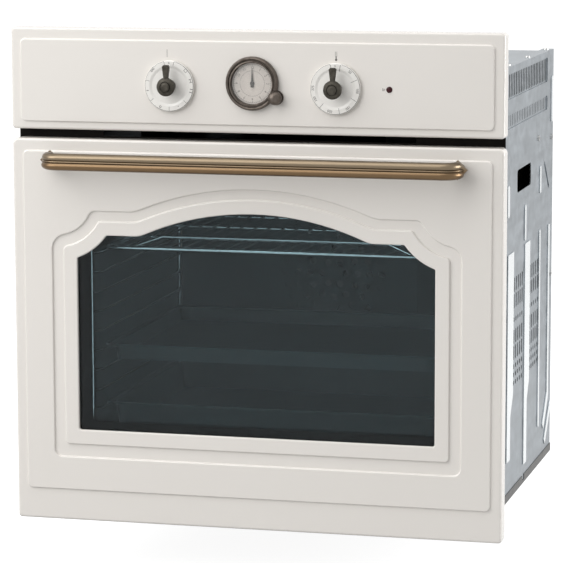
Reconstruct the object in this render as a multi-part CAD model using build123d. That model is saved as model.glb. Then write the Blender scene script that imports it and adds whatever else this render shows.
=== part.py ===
from build123d import *
import math
import os

# Built-in single oven. Millimetres. X runs across the front, Y runs back from the front of the
# cabinet, Z runs up from the underside of the base.

# Pressed steel front: door and control panel
FRONT_W = 595.0
FRONT_H = 595.0
DOOR_LOW = -9.0
DOOR_GAP = 11.0
PANEL_H = 121.0
FRONT_DEPTH = 20.0
FRONT_STANDOFF = 2.0
SKIN = 1.2
FRONT_EDGE_R = 3.0
DOOR_TOP_R = 7.0
CORNER_R = 4.0
FIELD_RISE = 2.2
FIELD_R = 6.0
FIELD_EDGE_R = 1.4
FIELD_FOOT_R = 0.7
DOOR_FIELD_SIDE = 13.5
DOOR_FIELD_LOW = 38.0
DOOR_FIELD_HIGH = 14.5
PANEL_FIELD_SIDE = 12.0
PANEL_FIELD_LOW = 9.5
PANEL_FIELD_HIGH = 13.5
RETURN_W = 33.5
HEEL_Y = -7.0
HEEL_Z = -2.5

# Window and the pressed groove that frames it. Drops are measured down from the door's top edge
WINDOW_SIDE = 79.8
WINDOW_LOW = 103.0
WINDOW_SHOULDER_DROP = 114.5
WINDOW_ARCH_R = 335.0
WINDOW_ARCH_DROP = 84.0
SCALLOP_OUT = 25.9
SCALLOP_DROP = 69.6
SCALLOP_R = 77.0
LAND_SIDE = 17.3
LAND_LOW = 18.0
LAND_HIGH = 17.0
GROOVE_SIDE = 31.0
GROOVE_LOW = 33.5
GROOVE_HIGH = 29.0
GROOVE_DEPTH = 2.5
GROOVE_EDGE_R = 1.6
GROOVE_FLOOR_R = 0.8
WINDOW_CORNER_R = 3.0
WINDOW_LOBE_R = 2.5
WINDOW_FOOT_R = 30.0
GLASS_T = 4.0
GLASS_GAP = 0.3
GLASS_LAP_SIDE = 11.3
GLASS_LAP_LOW = 15.0
GLASS_LAP_HIGH = 22.0
INNER_GLASS_LAP = 28.0
INNER_GLASS_LAP_LOW = 48.0
INNER_GLASS_Y = 10.0
GLASS_CORNER_R = 6.0

# Body. The insets and drops are how far it stays inside the front
BODY_INSET = 25.5
BODY_DROP = 52.0
BODY_D = 482.0
SHEET = 1.0
BASE_LIP_H = 10.0
BACK_ROOM = 24.0
FRAME_T = 1.2
FLANGE_INSET = 2.5
RECESS_INSET = 4.0
RECESS_LOW = 2.0
RECESS_DROP = 2.0
RECESS_D = 20.0
CABINET_SCREW_EDGE = 9.0
CABINET_SCREW_LOW = 95.0
CABINET_SCREW_HIGH = 435.0
CABINET_SCREW_R = 2.5

# Side panels: louvres, vent slots, grab hole, rib height and screws
RIB_RISE = 1.5
BAND_DEPTH = 1.6
LOUVRE_H = 33.0
LOUVRE_DROP = 7.0
LOUVRE_EDGE = 2.5
LOUVRE_FRONT = 146.0
LOUVRE_REAR_ROOM = 44.0
LOUVRE_PITCH = 12.0
LOUVRE_W = 6.0
BAND_H = 20.0
BAND_DROP = 56.0
BAND_EDGE = 3.0
BAND_SLOT_W = 3.0
GRAB_FRONT = 216.0
GRAB_REAR = 314.0
GRAB_H = 28.0
GRAB_DROP = 131.0
SIDE_SCREW_R = 1.9
SCREW_ROOM = 0.15
SIDE_SCREW_Y = 12.0
REAR_SCREW_OUT = 10.0
VENT_COLUMNS = (198.0, 312.0)
VENT_SLOTS = 5
VENT_PITCH = 14.0
VENT_W = 6.0
TALL_ROWS = (254.5, 234.0, 189.5, 169.5)
TALL_H = 18.0
SMALL_ROWS = (217.0, 158.5, 148.0, 137.5)
SMALL_H = 6.0

# Cavity, with what heats, lights and lines it
CAVITY_INSET = 46.0
CAVITY_LOW = 78.0
CAVITY_DROP = 46.0
CAVITY_BACK_ROOM = 28.0
CAVITY_T = 1.2
CAVITY_R = 20.0
CAVITY_FLANGE = 22.0
WOOL_T = 28.0
WOOL_GAP = 0.3
HEATER_R = 3.2
BOTTOM_HEATER_ROOM = 13.0
GRILL_DROP = 20.0
FAN_R = 75.0
FAN_T = 20.0
FAN_OFF_WALL = 16.0
FAN_COVER_OFF_WALL = 46.0
FAN_COVER_W = 224.0
FAN_SHAFT_SHORT = 20.0
RING_R = 88.0
RING_OFF_WALL = 25.0
ELBOW_R = 3.8
SEAL_R = 2.1
SEAL_MARGIN = 13.0
LAMP_SIDE = 54.0
LAMP_DROP = 58.0
LAMP_R = 26.0
SENSOR_SIDE = 36.0
SENSOR_DROP = 24.0
HEATER_LEG_X = 20.0

# Side rails, wire shelf and trays
RAIL_R = 2.0
RUNNER_R = 1.7
RAIL_OFF_WALL = 6.0
RUNNER_OFF_WALL = 12.0
RAIL_FRONT_Y = 27.0
RAIL_REAR_ROOM = 30.0
RAIL_LOW = 118.0
RAIL_PITCH = 24.0
RAIL_LEVELS = 9
TRAY_SIDE_ROOM = 10.0
TRAY_FRONT_Y = 58.0
TRAY_REAR_ROOM = 50.0
TRAY_T = 1.0
TRAY_TAPER = 8.0
DEEP_TRAY_H = 36.0
SHALLOW_TRAY_H = 18.0
SHALLOW_TRAY_LEVEL = 3
SHELF_LEVEL = 8
SHELF_SIDE_R = 2.5
SHELF_CROSS_R = 2.1
SHELF_WIRE_R = 1.3
SHELF_RIM_R = 1.6
SHELF_RIM_RISE = 13.0
SHELF_PITCH = 18.0
SHELF_EDGE_ROOM = 28.0

# Hinges
HINGE_INSET = 24.0
PIN_Y = -12.0
PIN_Z = 0.0
PIN_R = 2.5
PIN_FIT = 0.05
EYE_R = 5.5
ARM_T = 4.0
ARM_LOW = 6.0
ARM_HIGH = 20.0
ARM_REAR_Y = 58.0
CASE_GAP = 13.0
CASE_T = 1.2
CASE_FRONT_Y = -19.4
CASE_REAR_Y = 8.8
CASE_TOP = 165.0
SPRING_R = 5.4
SPRING_WIRE = 1.4
SPRING_Y = -4.0
SPRING_LOW = 45.0
SPRING_HIGH = 150.0
SPRING_HOOK = 3.0

# Handle
HANDLE_DROP = 24.0
HANDLE_Y = -56.0
HANDLE_INSET = 51.5
HANDLE_STANDOFF = 16.0
UPPER_LOBE_H = 5.6
UPPER_LOBE_D = 8.0
LOWER_LOBE_H = 5.2
LOWER_LOBE_D = 7.0
RIDGE_R = 1.0
RIDGE_REACH = 7.0
RIDGE_DROP = 0.4
FOOT_DIAGONAL = 11.5
FOOT_T = 6.0
FOOT_NECK_R = 6.5
SCREW_R = 2.4

# Controls. Their heights are measured up from the panel's lower edge
DIAL_X = 100.0
DIAL_RISE = 54.5
DIAL_R = 30.0
DIAL_T = 4.5
DIAL_GAP = 0.5
DISH_R = 23.5
DISH_DEPTH = 0.9
SHAFT_R = 3.0
SHAFT_FIT = 0.05
HUB_R = 10.9
HUB_NECK_R = 6.2
HUB_REACH = 25.0
LEVER_REACH = 25.5
LEVER_NECK = 5.4
LEVER_TIP = 8.6
LEVER_T = 5.0
SWITCH_RISE = 10.5
BRACKET_Y = -8.0
BRACKET_T = 1.2
BRACKET_FEET = (20.0, 57.0)
CLOCK_RISE = 59.0
CLOCK_BODY_H = 38.0
BEZEL_R = 31.5
BEZEL_RISE = 7.6
CLOCK_FACE_R = 24.6
HOUR_TUBE_R = 1.8
ARBOR_R = 1.0
ARBOR_FIT = 0.05
STEM_R = 2.5
KNOB_X = 28.6
KNOB_DROP = 16.0
KNOB_R = 8.3
KNOB_REACH = 4.0
KNOB_TRAVEL = 1.5
PILOT_X = 163.0
PILOT_R = 3.5

# Cooling fan, above the insulation
BLOWER_REAR_ROOM = 128.0
BLOWER_DROP = 44.0
BLOWER_R = 25.0
BLOWER_W = 200.0
BLOWER_D = 36.0
DUCT_W = 300.0
DUCT_DROP = 58.0

# Rear: bulge over the fan motor and the mains terminal with its gland
BULGE_R = 64.0
REAR_VENT_DROPS = (48.0, 32.0)
REAR_VENT_H = 6.0
MOTOR_REAR_ROOM = 8.0
TERMINAL_SIDE = 92.0
TERMINAL_DROP = 22.0
TERMINAL_H = 42.0
TERMINAL_WALL = 4.0
GLAND_R = 4.5
GLAND_REACH = 8.0

# Places worked out from the sizes above
PANEL_TOP = DOOR_LOW + FRONT_H
PANEL_LOW = PANEL_TOP - PANEL_H
DOOR_TOP = PANEL_LOW - DOOR_GAP
REAR_Y = -FRONT_STANDOFF
FACE_Y = REAR_Y - FRONT_DEPTH
FIELD_Y = FACE_Y - FIELD_RISE
FIELD_BACK_Y = FIELD_Y + SKIN
BORDER_BACK_Y = FACE_Y + SKIN
GROOVE_Y = FIELD_Y + GROOVE_DEPTH
HEM_REAR_Y = GROOVE_Y + SKIN
BODY_W = FRONT_W - 2 * BODY_INSET
BODY_H = PANEL_TOP - BODY_DROP
BODY_X = BODY_W / 2 - SHEET
BACK_Y = BODY_D - BACK_ROOM
FLANGE_W = FRONT_W - 2 * FLANGE_INSET
RECESS_W = BODY_W - 2 * RECESS_INSET
RECESS_HIGH = DOOR_TOP - RECESS_DROP
CABINET_SCREW_X = FLANGE_W / 2 - CABINET_SCREW_EDGE
CAVITY_W = RECESS_W - 2 * CAVITY_INSET
CAVITY_X = CAVITY_W / 2
CAVITY_HIGH = DOOR_TOP - CAVITY_DROP
CAVITY_REAR = BACK_Y - CAVITY_BACK_ROOM
WINDOW_W = FRONT_W - 2 * WINDOW_SIDE
WINDOW_SHOULDER = DOOR_TOP - WINDOW_SHOULDER_DROP
WINDOW_ARCH_Z = DOOR_TOP - WINDOW_ARCH_DROP - WINDOW_ARCH_R
SCALLOP_X = WINDOW_W / 2 + SCALLOP_OUT
SCALLOP_Z = DOOR_TOP - SCALLOP_DROP
WINDOW_GLASS_Y = HEM_REAR_Y + GLASS_GAP
WINDOW_GLASS_W = WINDOW_W + 2 * GLASS_LAP_SIDE
WINDOW_GLASS_LOW = WINDOW_LOW - GLASS_LAP_LOW
WINDOW_GLASS_HIGH = WINDOW_ARCH_Z + WINDOW_ARCH_R + GLASS_LAP_HIGH
INNER_GLASS_W = CAVITY_W + 2 * INNER_GLASS_LAP
INNER_GLASS_LOW = CAVITY_LOW - INNER_GLASS_LAP_LOW
INNER_GLASS_HIGH = CAVITY_HIGH + INNER_GLASS_LAP
LOUVRE_HIGH = BODY_H - LOUVRE_DROP
LOUVRE_LOW = LOUVRE_HIGH - LOUVRE_H
LOUVRES = int((BODY_D - LOUVRE_FRONT - LOUVRE_REAR_ROOM) / LOUVRE_PITCH)
GRAB_HIGH = BODY_H - GRAB_DROP
GRAB_LOW = GRAB_HIGH - GRAB_H
REAR_SCREW_Y = BACK_Y + REAR_SCREW_OUT
SIDE_SCREWS = [(SIDE_SCREW_Y, 40), (SIDE_SCREW_Y, 280), (SIDE_SCREW_Y, BODY_H - 29), (366, BODY_H - 106),
               (REAR_SCREW_Y, 240), (REAR_SCREW_Y, BODY_H - 114)]
WOOL_FRONT = RECESS_D + CAVITY_T + 0.8
WOOL_LOW = CAVITY_LOW - BOTTOM_HEATER_ROOM
WOOL_HIGH = CAVITY_HIGH + CAVITY_T + WOOL_GAP
WOOL_X = CAVITY_X + CAVITY_T + WOOL_GAP
WOOL_REAR = CAVITY_REAR + CAVITY_T + WOOL_GAP
FAN_Z = (CAVITY_LOW + CAVITY_HIGH) / 2
FAN_REAR_Y = CAVITY_REAR - FAN_OFF_WALL
RING_Y = CAVITY_REAR - RING_OFF_WALL
RING_LEG_Z = FAN_Z - math.sqrt(RING_R ** 2 - HEATER_LEG_X ** 2)
GRILL_Z = CAVITY_HIGH - GRILL_DROP
BOTTOM_HEATER_Z = WOOL_LOW + HEATER_R + 0.3
LAMP_X = LAMP_SIDE - CAVITY_X
LAMP_Z = CAVITY_HIGH - LAMP_DROP
SENSOR_X = CAVITY_X - SENSOR_SIDE
SENSOR_Z = CAVITY_HIGH - SENSOR_DROP
RAIL_X = CAVITY_X - RAIL_OFF_WALL
RAIL_INNER_X = CAVITY_X - RUNNER_OFF_WALL
RAIL_REAR_Y = CAVITY_REAR - RAIL_REAR_ROOM
TRAY_W = CAVITY_W - 2 * TRAY_SIDE_ROOM
TRAY_REAR_Y = CAVITY_REAR - TRAY_REAR_ROOM
HINGE_X = RECESS_W / 2 - HINGE_INSET
HANDLE_Z = DOOR_TOP - HANDLE_DROP
HANDLE_END_X = FRONT_W / 2 - HANDLE_INSET
HANDLE_SEAT_Y = FIELD_Y - HANDLE_STANDOFF
DIAL_Z = PANEL_LOW + DIAL_RISE
CLOCK_Z = PANEL_LOW + CLOCK_RISE
KNOB_Z = CLOCK_Z - KNOB_DROP
BRACKET_BACK_Y = BRACKET_Y + BRACKET_T
CLOCK_DIAL_Y = FIELD_Y - 1.3
KNOB_BACK_Y = FIELD_Y - 3.7
TOP_X = BODY_X - SHEET - 0.3
BLOWER_Y = BACK_Y - BLOWER_REAR_ROOM
BLOWER_Z = BODY_H - BLOWER_DROP
DUCT_TOP = BODY_H - DUCT_DROP
TERMINAL_X = TERMINAL_SIDE - BODY_W / 2
TERMINAL_TOP = BODY_H - TERMINAL_DROP
TERMINAL_LOW = TERMINAL_TOP - TERMINAL_H
FRONT = Plane(origin=(0, 0, 0), x_dir=(1, 0, 0), z_dir=(0, -1, 0))
SIDE = Plane(origin=(0, 0, 0), x_dir=(0, 1, 0), z_dir=(1, 0, 0))


def block(x0, x1, y0, y1, z0, z1):
    """Box between two corners."""
    middle = Pos((x0 + x1) / 2, (y0 + y1) / 2, (z0 + z1) / 2)
    return middle * Box(abs(x1 - x0), abs(y1 - y0), abs(z1 - z0))


def rod_x(r, x0, x1, y, z):
    """Round bar along X."""
    return Pos((x0 + x1) / 2, y, z) * Rot(0, 90, 0) * Cylinder(r, abs(x1 - x0))


def rod_y(r, x, z, y0, y1):
    """Round bar along Y."""
    return Pos(x, (y0 + y1) / 2, z) * Rot(90, 0, 0) * Cylinder(r, abs(y1 - y0))


def rod_z(r, x, y, z0, z1):
    """Round bar along Z."""
    return Pos(x, y, (z0 + z1) / 2) * Cylinder(r, abs(z1 - z0))


def plate(face, y_front, y_rear):
    """Outline drawn in X and Z, given a thickness in Y."""
    return extrude(FRONT.offset(-y_rear) * face, y_rear - y_front)


def side_plate(face, x0, x1):
    """Outline drawn in Y and Z, given a thickness in X."""
    return extrude(SIDE.offset(x0) * face, x1 - x0)


def level_plate(face, z0, z1):
    """Outline drawn in X and Y, given a thickness in Z."""
    return extrude(Plane.XY.offset(z0) * face, z1 - z0)


def area(x0, x1, y0, y1, r=0.0):
    """Flat rectangle between two corners, with rounded corners if r is given."""
    place = Pos((x0 + x1) / 2, (y0 + y1) / 2)
    if r > 0:
        return place * RectangleRounded(x1 - x0, y1 - y0, r)
    return place * Rectangle(x1 - x0, y1 - y0)


def outline(*points):
    """Flat polygon through its corners."""
    return make_face(Polyline(*points, close=True))


def turned(profile, x, z):
    """Solid turned about an axis along Y through x and z; the profile holds radius and Y pairs."""
    return Pos(x, 0, z) * revolve(outline(*profile), Axis.Y)


def bent_wire(points, bend, r):
    """Round wire along straight runs joined by bends."""
    path = FilletPolyline(*points, radius=bend)
    start = Plane(origin=path @ 0, z_dir=path % 0)
    return sweep(start * Circle(r), path=path)


def both_sides(shape):
    """The same piece on the right and, mirrored, on the left."""
    return [shape, mirror(shape, about=Plane.YZ)]


def drilled_for_screws(body):
    """Clear the side panels' screws through an inner wall, right and left."""
    holes = [rod_x(SIDE_SCREW_R + SCREW_ROOM, -BODY_X, BODY_X, y, z) for y, z in SIDE_SCREWS]
    return body.cut(*holes)


def fused(shapes):
    """Pieces that are welded or formed in one."""
    first = shapes[0]
    return first.fuse(*shapes[1:]) if len(shapes) > 1 else first


def save(name, *shapes):
    """Write one node: every solid of the shapes given."""
    solids = []
    for shape in shapes:
        solids.extend(shape.solids())
    node = solids[0] if len(solids) == 1 else Compound(children=solids)
    export_step(node, "parts/" + name + ".step")


# Window outline: a rectangle with an arched top and two scalloped shoulders

def round_pair(face, x, z, r):
    """Round the corner near x, z and its twin on the other side."""
    for side in (-1, 1):
        corner = min(face.vertices(), key=lambda v: math.hypot(v.X - side * x, v.Y - z))
        face = fillet(corner, r)
    return face


def window_outline(side, low, high, base_r, lobe_r, shoulder_r, foot_r):
    """Outline of the window, grown by side, low and high, with its four pairs of rounded corners."""
    half = WINDOW_W / 2 + side
    bottom = WINDOW_LOW - low
    shoulder = WINDOW_SHOULDER + high
    arch_r = WINDOW_ARCH_R + high
    scallop_r = SCALLOP_R - side
    face = area(-half, half, bottom, shoulder)
    face += (Pos(0, WINDOW_ARCH_Z) * Circle(arch_r)) & area(-half, half, shoulder, shoulder + arch_r)
    for end in (-1, 1):
        face -= Pos(end * SCALLOP_X, SCALLOP_Z) * Circle(scallop_r)
    lobe_z = SCALLOP_Z - math.sqrt(scallop_r ** 2 - (SCALLOP_X - half) ** 2)
    shoulder_x = SCALLOP_X - math.sqrt(scallop_r ** 2 - (SCALLOP_Z - shoulder) ** 2)
    foot_x = math.sqrt(arch_r ** 2 - (shoulder - WINDOW_ARCH_Z) ** 2)
    face = round_pair(face, half, bottom, base_r)
    face = round_pair(face, half, lobe_z, lobe_r)
    face = round_pair(face, shoulder_x, shoulder, shoulder_r)
    return round_pair(face, foot_x, shoulder, foot_r)


def pressed_front(low, high, top_r, field_side, field_low, field_high):
    """Solid block of a front sheet: rounded edges and a raised field."""
    face = area(-FRONT_W / 2, FRONT_W / 2, low, high)
    face = fillet(face.vertices().group_by(Axis.Y)[-1], top_r)
    face = fillet(face.vertices().group_by(Axis.Y)[0], CORNER_R)
    body = plate(face, FACE_Y, REAR_Y)
    body = fillet(body.faces().sort_by(Axis.Y)[0].edges(), FRONT_EDGE_R)
    half = FRONT_W / 2 - field_side
    field = plate(area(-half, half, low + field_low, high - field_high, FIELD_R), FIELD_Y, FACE_Y + SKIN)
    body += fillet(field.faces().sort_by(Axis.Y)[0].edges(), FIELD_EDGE_R)
    foot = [e for e in body.edges() if abs(e.center().Y - FACE_Y) < 0.01 and abs(e.center().X) < half + 1]
    foot = [e for e in foot if low + field_low - 1 < e.center().Z < high - field_high + 1]
    return fillet(foot, FIELD_FOOT_R)


def hollowed(body):
    """Sheet of even thickness that follows a front block, open behind."""
    rear = body.faces().sort_by(Axis.Y)[-1]
    return offset(body, amount=-SKIN, openings=[rear], kind=Kind.INTERSECTION)


def door_panel():
    """Enamelled door skin: groove round the window, hemmed window edge, returned side edges."""
    body = pressed_front(DOOR_LOW, DOOR_TOP, DOOR_TOP_R, DOOR_FIELD_SIDE, DOOR_FIELD_LOW, DOOR_FIELD_HIGH)
    corners = (WINDOW_CORNER_R, WINDOW_LOBE_R, WINDOW_LOBE_R, WINDOW_FOOT_R)
    window = window_outline(0, 0, 0, *corners)
    land = window_outline(LAND_SIDE, LAND_LOW, LAND_HIGH, 5, 6, 5, 34)
    groove = window_outline(GROOVE_SIDE, GROOVE_LOW, GROOVE_HIGH, 9, 18, 9, 40)
    body -= plate(groove - land, FIELD_Y - 1, GROOVE_Y)
    body -= plate(window, FIELD_Y - 1, REAR_Y + 1)
    reach = WINDOW_W / 2 + GROOVE_SIDE + 5
    field = [f for f in body.faces() if abs(f.center().Y - FIELD_Y) < 0.01]
    rims = [e for f in field for e in f.edges() if abs(e.center().X) < reach]
    rims = [e for e in rims if DOOR_LOW + DOOR_FIELD_LOW + 5 < e.center().Z < DOOR_TOP - DOOR_FIELD_HIGH - 5]
    body = fillet(rims, GROOVE_EDGE_R)
    floor = [f for f in body.faces() if abs(f.center().Y - GROOVE_Y) < 0.01]
    body = fillet([e for f in floor for e in f.edges()], GROOVE_FLOOR_R)
    skin = hollowed(body)
    hem = window_outline(SKIN + 1, SKIN + 1, SKIN + 1, *corners)
    skin -= plate(hem, HEM_REAR_Y, REAR_Y + 1)
    edge = FRONT_W / 2 - SKIN / 2
    inner = FRONT_W / 2 - RETURN_W
    flanges = [block(s * inner, s * edge, REAR_Y - SKIN, REAR_Y, 12, DOOR_TOP - DOOR_TOP_R) for s in (-1, 1)]
    flanges.append(block(-inner, inner, REAR_Y - SKIN, REAR_Y, DOOR_TOP - 14, DOOR_TOP - SKIN / 2))
    skin = skin.fuse(*flanges)
    heel = outline((REAR_Y + 1, HEEL_Z), (REAR_Y, HEEL_Z), (HEEL_Y, DOOR_LOW), (HEEL_Y, DOOR_LOW - 1),
                   (REAR_Y + 1, DOOR_LOW - 1))
    skin -= side_plate(heel, -FRONT_W / 2 - 1, FRONT_W / 2 + 1)
    for s in (-1, 1):
        x = s * HINGE_X
        skin -= block(x - ARM_T / 2 - 3, x + ARM_T / 2 + 3, CASE_FRONT_Y, REAR_Y + 1, DOOR_LOW - 1, 12)
        skin -= rod_y(SCREW_R + 0.2, s * HANDLE_END_X, HANDLE_Z, FIELD_Y - 1, FIELD_BACK_Y + 1)
    return skin


def control_panel():
    """Enamelled control panel with its holes for shafts, clock and pilot lamp."""
    skin = hollowed(pressed_front(PANEL_LOW, PANEL_TOP, CORNER_R, PANEL_FIELD_SIDE,
                                  PANEL_FIELD_LOW, PANEL_FIELD_HIGH))
    front, back = FIELD_Y - 1, FIELD_BACK_Y + 1
    for x in (-DIAL_X, DIAL_X):
        skin -= rod_y(SHAFT_R + 1.5, x, DIAL_Z, front, back)
    skin -= rod_y(CLOCK_FACE_R + 2.2, 0, CLOCK_Z, front, back)
    skin -= rod_y(SHAFT_R, KNOB_X, KNOB_Z, front, back)
    skin -= rod_y(PILOT_R + 0.1, PILOT_X, DIAL_Z, front, back)
    return skin


# Glass, inner frame and hinges of the door

def window_glass():
    """Tinted outer pane, behind the hemmed window edge."""
    half = WINDOW_GLASS_W / 2
    face = area(-half, half, WINDOW_GLASS_LOW, WINDOW_GLASS_HIGH, GLASS_CORNER_R)
    return plate(face, WINDOW_GLASS_Y, WINDOW_GLASS_Y + GLASS_T)


def inner_glass():
    """Inner pane that closes on the seal."""
    half = INNER_GLASS_W / 2
    face = area(-half, half, INNER_GLASS_LOW, INNER_GLASS_HIGH, GLASS_CORNER_R)
    return plate(face, INNER_GLASS_Y, INNER_GLASS_Y + GLASS_T)


def door_inner_frame():
    """Welded sheet frame behind the skin: side profiles, top and bottom rails, glass clips."""
    side_x = INNER_GLASS_W / 2 + 12
    rail_x = HINGE_X - CASE_GAP / 2 - CASE_T - 2.3
    glass_back = WINDOW_GLASS_Y + GLASS_T
    low, high = INNER_GLASS_LOW + 1, INNER_GLASS_HIGH
    t = FRAME_T
    seat_y = INNER_GLASS_Y
    right = [block(side_x - t, side_x, FIELD_BACK_Y, seat_y, low, high),
             block(side_x - 10, side_x, FIELD_BACK_Y, FIELD_BACK_Y + t, low, high),
             block(rail_x - 2, side_x, seat_y - t, seat_y, low, high)]
    for z in (CASE_TOP + 35, high - 76):
        right.append(block(WINDOW_GLASS_W / 2 - 9, side_x, glass_back, glass_back + t, z, z + 12))
    for z in (low + 30, high - 42):
        right.append(block(INNER_GLASS_W / 2, side_x, seat_y - t, seat_y + GLASS_T + t, z, z + 16))
        right.append(block(INNER_GLASS_W / 2 - 6, side_x, seat_y + GLASS_T, seat_y + GLASS_T + t, z, z + 16))
    pieces = []
    for piece in right:
        pieces.extend(both_sides(piece))
    pieces.append(block(-side_x, side_x, REAR_Y, REAR_Y + t, high, high + 14))
    pieces.append(block(-side_x, side_x, REAR_Y, seat_y, high, high + t))
    pieces.append(block(-side_x, side_x, seat_y - t, seat_y, high - 16, high + t))
    pieces.append(block(-rail_x, rail_x, FIELD_BACK_Y, seat_y, low, low + t))
    pieces.append(block(-rail_x, rail_x, seat_y - t, seat_y, low, low + 18))
    pieces.append(block(-rail_x, rail_x, FIELD_BACK_Y, FIELD_BACK_Y + t, low, low + 30))
    for x in (-120, 120):
        pieces.append(block(x - 10, x + 10, glass_back, glass_back + t, low, WINDOW_GLASS_LOW + 12))
        pieces.append(block(x - 10, x + 10, WINDOW_GLASS_Y, glass_back + t, WINDOW_GLASS_LOW - t,
                            WINDOW_GLASS_LOW))
    return fused(pieces)


def hinge_case():
    """Right hinge case: a channel riding on the pivot pin, with room for the spring."""
    inner, outer = HINGE_X - CASE_GAP / 2, HINGE_X + CASE_GAP / 2
    cheek_r = EYE_R + 1
    cheek = outline((CASE_FRONT_Y, PIN_Z), (PIN_Y + cheek_r - 1, PIN_Z), (PIN_Y + 12, PIN_Z + 12),
                    (CASE_REAR_Y, INNER_GLASS_LOW), (CASE_REAR_Y, CASE_TOP), (CASE_FRONT_Y, CASE_TOP))
    cheek += Pos(PIN_Y, PIN_Z) * Circle(cheek_r)
    cheek -= Pos(PIN_Y, PIN_Z) * Circle(PIN_R)
    for z in (SPRING_LOW - SPRING_HOOK, SPRING_HIGH + SPRING_HOOK):
        cheek -= Pos(SPRING_Y, z) * Circle(SPRING_WIRE)
    walls = side_plate(cheek, inner - CASE_T, inner) + side_plate(cheek, outer, outer + CASE_T)
    web = block(inner - CASE_T, outer + CASE_T, CASE_FRONT_Y, CASE_FRONT_Y + CASE_T, PIN_Z + 4, CASE_TOP)
    return walls + web


def hinge_spring():
    """Closing spring, drawn as the sleeve that its coils fill, with a hook at each end."""
    coils = rod_z(SPRING_R, HINGE_X, SPRING_Y, SPRING_LOW, SPRING_HIGH)
    coils -= rod_z(SPRING_R - 2 * SPRING_WIRE, HINGE_X, SPRING_Y, SPRING_LOW + 2, SPRING_HIGH - 2)
    reach = SPRING_HOOK - SPRING_WIRE - 0.3
    return coils + rod_z(SPRING_WIRE, HINGE_X, SPRING_Y, SPRING_LOW - reach, SPRING_LOW + 1) \
        + rod_z(SPRING_WIRE, HINGE_X, SPRING_Y, SPRING_HIGH - 1, SPRING_HIGH + reach)


def hinge_pins():
    """Right pivot pin and the two pins that hold the spring's ends."""
    inner = HINGE_X - CASE_GAP / 2 - CASE_T
    outer = HINGE_X + CASE_GAP / 2 + CASE_T
    pins = [rod_x(PIN_R, inner, outer, PIN_Y, PIN_Z)]
    for z in (SPRING_LOW - SPRING_HOOK, SPRING_HIGH + SPRING_HOOK):
        pins.append(rod_x(SPRING_WIRE, inner, outer, SPRING_Y, z))
    return Compound(children=pins)


def hinge_arm():
    """Right hinge arm: an eye on the pivot pin and a bar held in its bracket."""
    face = outline((PIN_Y - 4.5, PIN_Z + 3.2), (PIN_Y + 3, PIN_Z - 4.6), (-1.6, 4.4), (8, ARM_LOW),
                   (ARM_REAR_Y, ARM_LOW), (ARM_REAR_Y, ARM_HIGH), (10, ARM_HIGH), (-5, 10))
    face += Pos(PIN_Y, PIN_Z) * Circle(EYE_R)
    face -= Pos(PIN_Y, PIN_Z) * Circle(PIN_R + PIN_FIT)
    face -= Pos(ARM_REAR_Y - 8, (ARM_LOW + ARM_HIGH) / 2) * Circle(PIN_R + PIN_FIT)
    return side_plate(face, HINGE_X - ARM_T / 2, HINGE_X + ARM_T / 2)


def hinge_bracket():
    """Right receiver on the base that holds the hinge arm with a cross pin."""
    near, far = HINGE_X - ARM_T / 2 - 0.3, HINGE_X + ARM_T / 2 + 0.3
    front, back = RECESS_D + 3, ARM_REAR_Y + 2
    high = ARM_HIGH + 4
    foot = block(near - CASE_T - 5, far + CASE_T + 5, front, back, SHEET, SHEET + CASE_T)
    walls = [block(near - CASE_T, near, front, back, SHEET, high)]
    walls.append(block(far, far + CASE_T, front, back, SHEET, high))
    pin = rod_x(PIN_R, near - CASE_T, far + CASE_T, ARM_REAR_Y - 8, (ARM_LOW + ARM_HIGH) / 2)
    return foot.fuse(*walls, pin)


# Handle

def handle_bar():
    """Drawn brass bar of two lobes with a fine ridge between them, its ends bent back."""
    section = Pos(0, UPPER_LOBE_H - 1) * Ellipse(UPPER_LOBE_D, UPPER_LOBE_H)
    section += Pos(0, -LOWER_LOBE_H + 0.4) * Ellipse(LOWER_LOBE_D, LOWER_LOBE_H)
    section += area(0, RIDGE_REACH - RIDGE_R, -RIDGE_R - RIDGE_DROP, RIDGE_R - RIDGE_DROP)
    section += Pos(RIDGE_REACH - RIDGE_R, -RIDGE_DROP) * Circle(RIDGE_R)
    path = FilletPolyline((-HANDLE_END_X, HANDLE_SEAT_Y, HANDLE_Z), (-HANDLE_END_X, HANDLE_Y, HANDLE_Z),
                          (HANDLE_END_X, HANDLE_Y, HANDLE_Z), (HANDLE_END_X, HANDLE_SEAT_Y, HANDLE_Z),
                          radius=HANDLE_SEAT_Y - HANDLE_Y - 0.6)
    start = Plane(origin=path @ 0, x_dir=(-1, 0, 0), z_dir=path % 0)
    return sweep(start * section, path=path)


def handle_foot():
    """Right foot: a square boss set on its corner, on a neck against the door."""
    seat_y = HANDLE_SEAT_Y
    square = Pos(HANDLE_END_X, HANDLE_Z) * Rot(0, 0, 45) * Rectangle(FOOT_DIAGONAL * math.sqrt(2),
                                                                      FOOT_DIAGONAL * math.sqrt(2))
    boss = plate(square, seat_y, seat_y + FOOT_T)
    boss = chamfer(boss.faces().sort_by(Axis.Y)[0].edges(), 2.0)
    foot = boss + rod_y(FOOT_NECK_R, HANDLE_END_X, HANDLE_Z, seat_y + FOOT_T - 1, FIELD_Y)
    return foot - rod_y(SCREW_R + 0.1, HANDLE_END_X, HANDLE_Z, FIELD_Y + 1, seat_y + 4)


def handle_screw():
    """Right screw, from inside the door into the handle's foot."""
    head = rod_y(SCREW_R * 1.9, HANDLE_END_X, HANDLE_Z, FIELD_BACK_Y, FIELD_BACK_Y + 3)
    head -= rod_y(SCREW_R * 0.8, HANDLE_END_X, HANDLE_Z, FIELD_BACK_Y + 1.5, FIELD_BACK_Y + 4)
    return head + rod_y(SCREW_R, HANDLE_END_X, HANDLE_Z, FIELD_Y - 11, FIELD_BACK_Y + 0.5)


# Controls

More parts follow.
